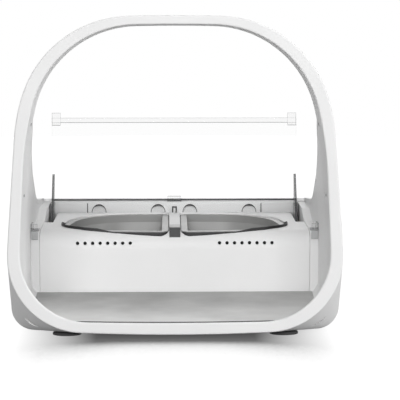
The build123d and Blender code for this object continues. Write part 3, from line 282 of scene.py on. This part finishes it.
def solder_mask():
    """Green lacquer over square copper areas, with their edges showing through."""
    material, tree, output, place = new_material("solder_mask")
    tracks = add(tree, "ShaderNodeTexVoronoi", {"Vector": place, "Scale": 1 / (4 * MM)}, distance="CHEBYCHEV")
    edge = add(tree, "ShaderNodeMapRange", {"Value": tracks.outputs[0], "From Min": 0.30, "From Max": 0.34})
    colour = blend_colours(tree, edge.outputs[0], linear("#1C5B37"), linear("#14472A"))
    surface = add(tree, "ShaderNodeBsdfPrincipled", {"Base Color": colour, "Roughness": 0.3, "IOR": 1.5})
    tree.links.new(surface.outputs[0], output.inputs[0])
    return material


board_green = solder_mask()
print("materials with the metals and boards:", len(bpy.data.materials))


# %% [markdown]
# ## Finishes on the construction's own nodes
#
# A node of the construction whose shape is right keeps its mesh and only gets a better material, by
# the record's material slot. Each slot name maps to one finish. Three nodes get their own: the
# lid's arms, which are seen edge-on, and the block between the bowls, which is as grey as they are.

# %% Dress the nodes
SLOT_FINISH = {
    "white_abs": white_abs,
    "grey_mat": mat_rubber,
    "bowl_grey": bowl_abs,
    "trim_grey": trim_abs,
    "pad_rubber": pad_rubber,
    "clear_sheet": clear_lid,
    "clear_edge": clear_trim,
    "dark_window": dark_window,
    "board_green": board_green,
    "switch_black": black_nylon,
    "gear_pom": acetal,
    "steel": zinc_steel,
    "motor_steel": motor_can,
    "aluminium": bar_aluminium,
    "copper": coil_copper,
    "cell_wrap": cell_sleeve,
    "foot_rubber": foot_rubber,
    "bush_nylon": acetal,
    "button_grey": button_abs,
}
NODE_FINISH = {"lid_arm_left": clear_edge, "lid_arm_right": clear_edge, "bridge_block": bowl_abs}
for entry in frame["record"]["subparts"]:
    finish = NODE_FINISH.get(entry["node"], SLOT_FINISH[entry["material_slot"]])
    for place in NODES[entry["node"]].material_slots:
        place.material = finish
print("dressed", len(NODES), "nodes")


# %% [markdown]
# ## Small trim
#
# The trim that follows is too small or too soft to matter for the construction. All of it rides on
# the casing, except the battery doors' ribs. A few helpers build it: one turns bmesh work into a
# piece, one makes a block with rounded edges, and one sweeps a small profile along a line.

# %% Helpers for pieces
def piece(name, form, material):
    """Turns a bmesh into a piece that rides on the casing."""
    bmesh.ops.recalc_face_normals(form, faces=form.faces)
    mesh = bpy.data.meshes.new(name)
    form.to_mesh(mesh)
    form.free()
    mesh.materials.append(material)
    made = bpy.data.objects.new(name, mesh)
    bpy.context.scene.collection.objects.link(made)
    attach(made, "body")
    print(name, "with", len(mesh.polygons), "faces")


def rounded_block(form, low, high, radius, segments=3):
    """Adds a block between two corners, its edges rounded."""
    middle = [(a + b) / 2 for a, b in zip(low, high)]
    size = [b - a for a, b in zip(low, high)]
    place = Matrix.Translation(middle) @ Matrix.Diagonal((*size, 1.0))
    made = bmesh.ops.create_cube(form, size=1.0, matrix=place)["verts"]
    edges = {edge for vertex in made for edge in vertex.link_edges}
    bmesh.ops.bevel(form, geom=list(edges), offset=radius, segments=segments, affect="EDGES", profile=0.5)


def sweep(form, line, profiles, closed, normal=Vector((0, 0, 1))):
    """Sweeps closed profiles of (sideways, up) points, one for each point of a line that lies in a plane."""
    rings = []
    for index, point in enumerate(line):
        before = line[index - 1] if closed or index else point
        after = line[(index + 1) % len(line)] if closed or index + 1 < len(line) else point
        ahead = (after - before).normalized()
        side = ahead.cross(normal)
        rings.append([form.verts.new(point + side * across + normal * up) for across, up in profiles[index]])
    pairs = zip(rings, rings[1:] + rings[:1]) if closed else zip(rings, rings[1:])
    for ring, following in pairs:
        for index in range(len(ring)):
            step = (index + 1) % len(ring)
            form.faces.new((ring[index], ring[step], following[step], following[index]))
    if not closed:
        form.faces.new(rings[0])
        form.faces.new(reversed(rings[-1]))


def oval(width, height, count=12):
    """A profile with flat-ish sides and round ends."""
    turns = [2 * math.pi * index / count for index in range(count)]
    bend = lambda value: math.copysign(abs(value) ** 0.6, value)
    return [(bend(math.cos(turn)) * width / 2, bend(math.sin(turn)) * height / 2) for turn in turns]


# %% [markdown]
# ## Painted shade round the bowls
#
# A black strip lies in the gap round each bowl as painted shade, for the shadow between the
# bowl's rim and the deck. Its line is the bowl's own rim, read from the bowl's mesh, so it can't
# drift from it. In front, where the deck rounds off, it shows as a dark band of painted shadow, and
# at the outer end its lip stands up over the deck's edge as a wider painted shadow.

# %% Painted shade from the bowls' rims
def rim_loop(node, height):
    """The outer edge of a node's level face at a height, as a chain of points."""
    mesh = NODES[node].data
    key = lambda index: tuple(round(c, 6) for c in mesh.vertices[index].co)
    uses = {}
    for face in mesh.polygons:
        if face.normal.z > 0.99 and abs(face.center.z - height) < 0.02 * MM:
            ring = [key(index) for index in face.vertices]
            for start, end in zip(ring, ring[1:] + ring[:1]):
                if start != end:
                    uses.setdefault(frozenset((start, end)), []).append((start, end))
    following = {pair[0][0]: pair[0][1] for pair in uses.values() if len(pair) == 1}
    loops = []
    while following:
        start = min(following)
        loop = [start]
        while loop[-1] in following:
            after = following.pop(loop[-1])
            if after == start:
                break
            loop.append(after)
        loops.append(loop)
    longest = max(loops, key=lambda loop: max(p[0] for p in loop) - min(p[0] for p in loop))
    return [Vector(point) for point in longest]


def even_line(line, count):
    """The closed line again as points that lie evenly along it."""
    ends = line[1:] + line[:1]
    lengths = [(b - a).length for a, b in zip(line, ends)]
    total = sum(lengths)
    points, index, done = [], 0, 0.0
    for wanted in (total * step / count for step in range(count)):
        while done + lengths[index] < wanted:
            done += lengths[index]
            index += 1
        points.append(line[index].lerp(ends[index], (wanted - done) / lengths[index]))
    return points


RIM_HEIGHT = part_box("bowl_left")[1][2]
DECK_TOP, DECK_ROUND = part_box("bowl_tray")[1][2], 14 * MM
DECK_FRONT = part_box("bowl_tray")[0][1]
GAP_SHADE_WIDTH, GAP_SHADE_SHIFT = 0.8 * MM, 0.45 * MM  # its width, and how far outside the rim its middle runs
GAP_SHADE_TOP, GAP_SHADE_FOOT = RIM_HEIGHT - 0.5 * MM, RIM_HEIGHT - 1.5 * MM
GAP_SHADE_CLEAR = 0.05 * MM  # how far the foot stays above the deck's surface in front
GAP_SHADE_POINTS = 220
LIP_START, LIP_RUN = 36 * MM, 24 * MM  # where the lip starts to rise, across the feeder, and over what width
LIP_FADE = 14 * MM  # the depth over which it sinks again, in front of the bowl's middle
LIP_LOW, LIP_RISE = -1.5 * MM, 3.6 * MM  # the lip's top at its start, from the deck's surface, and its rise


def along(value, start, run):
    """How far a value has come along a stretch, from 0 to 1."""
    return min(max((value - start) / run, 0.0), 1.0)


def deck_height(y):
    """The height of the deck's surface, which rounds off to the front."""
    back = min(max(DECK_FRONT + DECK_ROUND - y, 0.0), DECK_ROUND)
    return DECK_TOP - DECK_ROUND + math.sqrt(DECK_ROUND**2 - back**2)


# Painted shade: a black strip swept along each rim, for the shadow in the gap under it, widest at the outer
# end.
for side in ("left", "right"):
    outline = even_line(rim_loop("bowl_" + side, RIM_HEIGHT), GAP_SHADE_POINTS)
    middle = sum(outline, Vector()) / len(outline)
    turning = sum((a - middle).cross(b - middle).z for a, b in zip(outline, outline[1:]))
    outwards = math.copysign(GAP_SHADE_SHIFT, turning)
    line, profiles = [], []
    for point in outline:
        foot = min(GAP_SHADE_FOOT, deck_height(point.y - 2 * GAP_SHADE_SHIFT) + GAP_SHADE_CLEAR)
        raised = along(abs(point.x), LIP_START, LIP_RUN) * along(middle.y - point.y, 0.0, LIP_FADE)
        top = max(GAP_SHADE_TOP, deck_height(point.y) + LIP_LOW + LIP_RISE * raised)
        line.append(Vector((point.x, point.y, (top + foot) / 2)))
        profiles.append([(outwards + across, up) for across, up in oval(GAP_SHADE_WIDTH, top - foot)])
    level = [Vector((point.x, point.y, 0.0)) for point in line]
    lifted = [[(across, up + point.z) for across, up in profile] for point, profile in zip(line, profiles)]
    form = bmesh.new()
    sweep(form, level, lifted, closed=True)
    piece("bowl_gap_shade_" + side, form, black_nylon)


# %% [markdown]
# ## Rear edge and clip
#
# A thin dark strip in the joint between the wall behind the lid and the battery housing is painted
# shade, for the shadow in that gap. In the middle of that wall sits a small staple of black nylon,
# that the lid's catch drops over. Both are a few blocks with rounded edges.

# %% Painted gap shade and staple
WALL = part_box("rear_wall")
WALL_FACE, WALL_BACK, WALL_TOP = WALL[0][1], WALL[1][1], WALL[1][2]
SEATING = 0.02 * MM  # a seated piece stays this far off the face under it, so that the two don't flicker
REAR_SHADE_END, REAR_SHADE_HEIGHT, REAR_SHADE_ROUND = 1 * MM, 1.2 * MM, 0.25 * MM
REAR_SHADE_DEPTHS = (WALL_BACK - 0.9 * MM, WALL_BACK - 0.1 * MM)
# Painted shade: a dark strip for the shadow in the gap behind the wall's top.
form = bmesh.new()
low = (WALL[0][0] + REAR_SHADE_END, REAR_SHADE_DEPTHS[0], WALL_TOP + SEATING)
high = (WALL[1][0] - REAR_SHADE_END, REAR_SHADE_DEPTHS[1], WALL_TOP + REAR_SHADE_HEIGHT)
rounded_block(form, low, high, REAR_SHADE_ROUND)
piece("rear_gap_shade", form, pad_rubber)

# Two legs and the bar over them, each from its left and foot to its right and top, in millimetres.
STAPLE_BARS = ((-2.0, 50.0, -1.0, 60.0), (1.0, 50.0, 2.0, 60.0), (-2.0, 59.0, 2.0, 60.2))
STAPLE_WIRE, STAPLE_ROUND = 0.9 * MM, 0.3 * MM
staple_back = WALL_FACE - SEATING
form = bmesh.new()
for left, foot, right, top in STAPLE_BARS:
    low = (left * MM, staple_back - STAPLE_WIRE, foot * MM)
    rounded_block(form, low, (right * MM, staple_back, top * MM), STAPLE_ROUND)
piece("lid_staple", form, black_nylon)


# %% [markdown]
# ## Painted shade in the finger arches and grooves
#
# The wall behind the lid has four finger arches. The line round each is a dark wire swept over an
# arc, painted shade that is darkest at the top, where the arch's ceiling is in shadow. Two upright
# dark strips beside them are painted shade in the wall's grooves.

# %% Painted arch and groove shade
ARCH_PLACES = (-63.7, -13.8, 13.1, 63.2)
ARCH_RADIUS, ARCH_HEIGHT = 5.9 * MM, 55.5 * MM
ARCH_FROM, ARCH_SPAN, ARCH_STEPS = -4, 188, 28  # the arc's first angle and its length, in degrees
ARCH_SHADE_WIDTH, ARCH_SHADE_SWELL, ARCH_SHADE_DEPTH = 0.45 * MM, 0.95 * MM, 0.4 * MM  # at the feet, added at the top
# Painted shade: dark wires round the arches, swelling at the top where the shadow is deepest.
form = bmesh.new()
for across in ARCH_PLACES:
    turns = [math.radians(ARCH_FROM + ARCH_SPAN * step / ARCH_STEPS) for step in range(ARCH_STEPS + 1)]
    middle = Vector((across * MM, WALL_FACE, ARCH_HEIGHT))
    line = [middle + ARCH_RADIUS * Vector((math.cos(turn), 0, math.sin(turn))) for turn in turns]
    widths = [ARCH_SHADE_WIDTH + ARCH_SHADE_SWELL * max(math.sin(turn), 0) ** 4 for turn in turns]
    profiles = [oval(width, ARCH_SHADE_DEPTH, 8) for width in widths]
    sweep(form, line, profiles, closed=False, normal=Vector((0, 1, 0)))
piece("finger_arch_shade", form, black_nylon)

GROOVE_SHADE_PLACE, GROOVE_SHADE_HALF, GROOVE_SHADE_ROUND = 73.4 * MM, 0.3 * MM, 0.12 * MM
GROOVE_SHADE_DEPTHS = (WALL_FACE + 0.2 * MM, WALL_FACE + 0.9 * MM)
GROOVE_SHADE_HEIGHTS = (50 * MM, 62.6 * MM)
# Painted shade: a dark strip down each of the wall's two grooves.
form = bmesh.new()
for side in (-1, 1):
    x = side * GROOVE_SHADE_PLACE
    low, high = zip((x - GROOVE_SHADE_HALF, x + GROOVE_SHADE_HALF), GROOVE_SHADE_DEPTHS, GROOVE_SHADE_HEIGHTS)
    rounded_block(form, low, high, GROOVE_SHADE_ROUND, 2)
piece("wall_groove_shade", form, pad_rubber)


# %% [markdown]
# ## Front pads and sill bead
#
# Two rubber pads stand under the hoop's lower corners, next to the floor, where they stop the
# feeder from sliding when a pet leans in. Behind the hoop's low sill a dark bead is painted shade,
# for the shadow in the gap at the mat's front edge.

# %% Pads and bead
PAD_PLACE, PAD_HALF, PAD_SIDES = (76 * MM, -144 * MM), (10 * MM, 6 * MM), 40
# The pad's outline at each height: how much of its full size it has there, and the height in millimetres.
PAD_LEVELS = ((0.94, 0.02), (1.0, 0.3), (1.0, 1.5), (0.93, 2.1), (0.7, 2.4))


def pad_ring(form, x, grow, up):
    """One oval ring of a pad."""
    turns = [2 * math.pi * step / PAD_SIDES for step in range(PAD_SIDES)]
    half_x, half_y = (grow * half for half in PAD_HALF)
    return [
        form.verts.new((x + half_x * math.cos(turn), PAD_PLACE[1] + half_y * math.sin(turn), up * MM))
        for turn in turns
    ]


form = bmesh.new()
for side in (-1, 1):
    rows = [pad_ring(form, side * PAD_PLACE[0], grow, up) for grow, up in PAD_LEVELS]
    for lower, upper in zip(rows, rows[1:]):
        for index in range(PAD_SIDES):
            step = (index + 1) % PAD_SIDES
            form.faces.new((lower[index], lower[step], upper[step], upper[index]))
    form.faces.new(reversed(rows[0]))
    form.faces.new(rows[-1])
piece("front_pads", form, foot_rubber)

BEAD_EDGE, BEAD_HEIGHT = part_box("mat")[0][1] - 0.75 * MM, 8.75 * MM
BEAD_BOW, BEAD_SAG = 2700, 11600  # twice the radii, in millimetres, of its curve in plan and from the front
BEAD_HALF, BEAD_STEP, BEAD_OVAL = 72, 4, (0.7 * MM, 0.9 * MM)
line = [
    Vector((x * MM, BEAD_EDGE + x * x / BEAD_BOW * MM, BEAD_HEIGHT + x * x / BEAD_SAG * MM))
    for x in range(-BEAD_HALF, BEAD_HALF + 1, BEAD_STEP)
]
# Painted shade: a dark bead for the shadow along the mat's front edge.
form = bmesh.new()
sweep(form, line, [oval(*BEAD_OVAL, 8)] * len(line), closed=False)
piece("sill_shade_bead", form, black_nylon)


# %% [markdown]
# ## Catch brackets
#
# Each corner catch hangs from a small clear bracket on the side wall: a top plate, a back web and a
# peg.

# %% Brackets
WEB_REACH, BRACKET_LENGTH = 0.4 * MM, 6 * MM  # past the catch's outer face, and behind its back
BRACKET_ROUND = 0.3 * MM
for side, name in ((-1, "left"), (1, "right")):
    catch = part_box("corner_catch_" + name)
    inner, outer = sorted((abs(catch[0][0]), abs(catch[1][0])))
    front, back, top = catch[0][1], catch[1][1], catch[1][2]
    rear = back + BRACKET_LENGTH
    # The plate, the web and the peg: inner face, front and back, foot and top.
    parts = (
        (inner - 1.0 * MM, front, rear, top + 0.05 * MM, top + 1.3 * MM),
        (outer - 1.2 * MM, front, rear, top + 1.2 * MM, top + 6.0 * MM),
        (inner + 0.6 * MM, back + 1.0 * MM, back + 2.6 * MM, top + 1.2 * MM, top + 5.0 * MM),
    )
    form = bmesh.new()
    for x, y_low, y_high, z_low, z_high in parts:
        xs = sorted((side * x, side * (outer + WEB_REACH)))
        rounded_block(form, (xs[0], y_low, z_low), (xs[1], y_high, z_high), BRACKET_ROUND)
    piece("catch_bracket_" + name, form, clear_trim)


# %% [markdown]
# ## Grip ribs
#
# A thumb pushes each battery door from below, so the doors have a row of rounded grip ribs. One rib
# repeats at a fixed pitch, which is a job for Geometry Nodes: a line of points, one rib on each,
# then real geometry.

# %% Ribs by Geometry Nodes
def rib_tree(material):
    """A node group that sets a rib mesh at equal steps, with the count and pitch as named inputs."""
    tree = bpy.data.node_groups.new("grip_ribs", "GeometryNodeTree")
    tree.interface.new_socket("Geometry", in_out="INPUT", socket_type="NodeSocketGeometry")
    tree.interface.new_socket("Ribs", in_out="INPUT", socket_type="NodeSocketInt")
    tree.interface.new_socket("Pitch", in_out="INPUT", socket_type="NodeSocketFloat")
    tree.interface.new_socket("Geometry", in_out="OUTPUT", socket_type="NodeSocketGeometry")
    given = add(tree, "NodeGroupInput").outputs
    offset = add(tree, "ShaderNodeCombineXYZ", {"Y": given["Pitch"]})
    steps = {"Count": given["Ribs"], "Offset": offset.outputs[0]}
    line = add(tree, "GeometryNodeMeshLine", steps, mode="OFFSET")
    rib_places = {"Points": line.outputs[0], "Instance": given["Geometry"]}
    ribs = add(tree, "GeometryNodeInstanceOnPoints", rib_places)
    real = add(tree, "GeometryNodeRealizeInstances", {"Geometry": ribs.outputs[0]})
    finish = add(tree, "GeometryNodeSetMaterial", {"Geometry": real.outputs[0], "Material": material})
    output = add(tree, "NodeGroupOutput")
    tree.links.new(finish.outputs[0], output.inputs[0])
    return tree


def plain_copy(holder, tree, values):
    """The mesh that the node group makes from the holder's, as plain geometry."""
    modifier = holder.modifiers.new("nodes", "NODES")
    modifier.node_group = tree
    for item in tree.interface.items_tree:
        if item.in_out == "INPUT" and item.name in values:
            modifier[item.identifier] = values[item.name]
    bpy.context.view_layer.update()
    shown = holder.evaluated_get(bpy.context.evaluated_depsgraph_get())
    mesh = bpy.data.meshes.new_from_object(shown)
    holder.modifiers.remove(modifier)
    return mesh


RIBS, PITCH = 7, 2.2 * MM
RIB_LOW, RIB_HIGH = (-9 * MM, -0.5 * MM, -0.55 * MM), (9 * MM, 0.5 * MM, 0.2 * MM)
RIB_ROUND, RIB_MARGIN = 0.35 * MM, 8 * MM  # the margin lies between the last rib and the door's rear edge
ribs = rib_tree(trim_abs)
for name in ("battery_door_left", "battery_door_right"):
    low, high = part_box(name)
    middle = (low[0] + high[0]) / 2
    first = high[1] - RIB_MARGIN - (RIBS - 1) * PITCH
    form = bmesh.new()
    rounded_block(form, RIB_LOW, RIB_HIGH, RIB_ROUND)
    mesh = bpy.data.meshes.new(name + "_rib")
    form.to_mesh(mesh)
    form.free()
    holder = bpy.data.objects.new(name + "_grip", mesh)
    bpy.context.scene.collection.objects.link(holder)
    made = plain_copy(holder, ribs, {"Ribs": RIBS, "Pitch": PITCH})
    made.transform(Matrix.Translation((middle, first, low[2])))
    holder.data = made
    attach(holder, name.removeprefix("battery_"))
    print(holder.name, "with", len(made.polygons), "faces")


# %% [markdown]
# ## Studio
#
# The picture is a product shot on white. The floor is a large sheet of paper. What the camera sees
# of it is lifted with Light Path's Is Camera Ray, so that it reads as white. Ambient occlusion
# takes the lift away close to the object. It looks backwards and up, and it dies out to the sides
# and the back, so a soft dark band lies under and in front of the hoop and the paper stays white
# elsewhere. The sheet itself gives little light back, so the casing's underside falls off as it
# does in the studio. The world shows white to the camera and to glossy and transmitted rays, and
# lights the object softly.

# %% Floor and world
def background_rays(tree):
    """1 where a ray shows the background: seen directly, mirrored in a gloss or through something clear."""
    path = add(tree, "ShaderNodeLightPath")
    shown = path.outputs["Is Camera Ray"]
    for kind in ("Is Glossy Ray", "Is Transmission Ray"):
        shown = add(tree, "ShaderNodeMath", {0: shown, 1: path.outputs[kind]}, operation="MAXIMUM").outputs[0]
    return shown


SHADE_REACH, SHADE_LOOK = 90 * MM, (0.0, 0.75, 0.66)  # how far the occlusion looks, and which way
SHADE_SIDES, SHADE_DEPTH = (50 * MM, 112 * MM), (0.0, 120 * MM)  # where it dies out, across and backwards


def shade_share(tree, place):
    """0 where the paper is in the object's shade, 1 where it is clear of it."""
    look = {"Distance": SHADE_REACH, "Normal": SHADE_LOOK}
    open_sky = add(tree, "ShaderNodeAmbientOcclusion", look, samples=16).outputs["AO"]
    shaded = add(tree, "ShaderNodeMapRange", {"Value": open_sky, "From Min": 0.84, "To Min": 0.08}).outputs[0]
    spot = add(tree, "ShaderNodeSeparateXYZ", {0: place}).outputs
    aside = add(tree, "ShaderNodeMath", {0: spot["X"]}, operation="ABSOLUTE").outputs[0]
    for value, (start, end) in ((aside, SHADE_SIDES), (spot["Y"], SHADE_DEPTH)):
        clear = add(tree, "ShaderNodeMapRange", {"Value": value, "From Min": start, "From Max": end})
        shaded = add(tree, "ShaderNodeMath", {0: shaded, 1: clear.outputs[0]}, operation="MAXIMUM").outputs[0]
    return shaded


def build_floor(radius=1.5, lift=1.0):
    """A round sheet under the object, shown as white paper with a soft shade."""
    mesh = bpy.data.meshes.new("studio_floor")
    form = bmesh.new()
    bmesh.ops.create_circle(form, cap_ends=True, segments=96, radius=radius)
    form.to_mesh(mesh)
    form.free()
    floor = bpy.data.objects.new("studio_floor", mesh)
    bpy.context.scene.collection.objects.link(floor)
    material, tree, output, place = new_material("studio_paper")
    glow = add(tree, "ShaderNodeMath", {0: background_rays(tree), 1: lift}, operation="MULTIPLY").outputs[0]
    glow = add(tree, "ShaderNodeMath", {0: glow, 1: shade_share(tree, place)}, operation="MULTIPLY")
    paper = add(tree, "ShaderNodeBsdfDiffuse", {"Color": linear("#5E5E5E")})
    light = add(tree, "ShaderNodeEmission", {"Color": (1, 1, 1, 1), "Strength": glow.outputs[0]})
    both = add(tree, "ShaderNodeAddShader", {0: paper.outputs[0], 1: light.outputs[0]})
    tree.links.new(both.outputs[0], output.inputs[0])
    mesh.materials.append(material)
    print("floor", 2 * radius, "m across, shade reaches", round(SHADE_REACH / MM), "mm")


def build_world(strength=0.3):
    """White to look at, and a soft even light of the given strength."""
    world = bpy.data.worlds.new("studio_world")
    world.use_nodes = True
    tree = world.node_tree
    tree.nodes.clear()
    output = add(tree, "ShaderNodeOutputWorld")
    shown = {"Value": background_rays(tree), "To Min": strength, "To Max": 1.0}
    level = add(tree, "ShaderNodeMapRange", shown)
    light = add(tree, "ShaderNodeBackground", {"Color": (1, 1, 1, 1), "Strength": level.outputs[0]})
    tree.links.new(light.outputs[0], output.inputs[0])
    bpy.context.scene.world = world


build_floor()
build_world()


# %% [markdown]
# ## Lamps
#
# Large soft boxes give the white plastic its form. The main one hangs over the camera and is a wide
# band, so that the hoop's upright face hardly mirrors it. One far to the right lights the right
# flank, and a weak one to the left keeps the left flank darker. A weak one overhead opens the deck,
# and one behind lifts the rear casing, so that it isn't black in a view from the back.

# %% Soft boxes
def soft_box(name, place, aim, size, power):
    """A rectangular area lamp aimed at a point. size is its width and height in metres, power is in watts."""
    lamp = bpy.data.lights.new(name, "AREA")
    lamp.shape = "RECTANGLE"
    lamp.size, lamp.size_y = size
    lamp.energy = power
    holder = bpy.data.objects.new(name, lamp)
    direction = Vector(aim) - Vector(place)
    holder.matrix_world = Matrix.Translation(place) @ direction.to_track_quat("-Z", "Y").to_matrix().to_4x4()
    bpy.context.scene.collection.objects.link(holder)
    print(name, power, "W")


AIM = (0.0, 0.0, 0.08)
soft_box("front_box", (-0.05, -2.3, 0.72), AIM, (1.4, 0.6), 31)
soft_box("right_box", (2.0, -0.9, 0.45), AIM, (1.0, 0.8), 18)
soft_box("left_box", (-1.6, -1.4, 1.2), AIM, (1.0, 1.0), 1.5)
soft_box("top_box", (0.0, 0.3, 2.2), AIM, (1.4, 1.4), 1.5)
soft_box("back_box", (0.5, 2.2, 1.3), AIM, (1.4, 1.0), 12)


# %% [markdown]
# ## Camera
#
# A long lens from a little above the hoop's middle, looking slightly down, so that the hoop frames
# the bowls.

# %% Camera
CAMERA_PLACE, CAMERA_SIGHT = Vector((-0.0037, -1.183, 0.228)), Vector((30.0, 1497.0, -192.0))
CAMERA_LENS, SENSOR_WIDTH = 135.9, 36.0


def build_camera():
    """The camera at its place, looking along its line of sight."""
    data = bpy.data.cameras.new("camera")
    data.lens = CAMERA_LENS
    data.sensor_width = SENSOR_WIDTH
    data.clip_start = 0.01
    camera = bpy.data.objects.new("camera", data)
    turn = CAMERA_SIGHT.to_track_quat("-Z", "Y").to_matrix().to_4x4()
    camera.matrix_world = Matrix.Translation(CAMERA_PLACE) @ turn
    bpy.context.scene.collection.objects.link(camera)
    bpy.context.scene.camera = camera
    print("camera at", [round(value, 4) for value in CAMERA_PLACE], "with a", CAMERA_LENS, "mm lens")


build_camera()


# %% [markdown]
# ## Finish
#
# The view transform is Standard, so a colour shows as it is written.

# %% Finish
bpy.context.scene.view_settings.view_transform = "Standard"
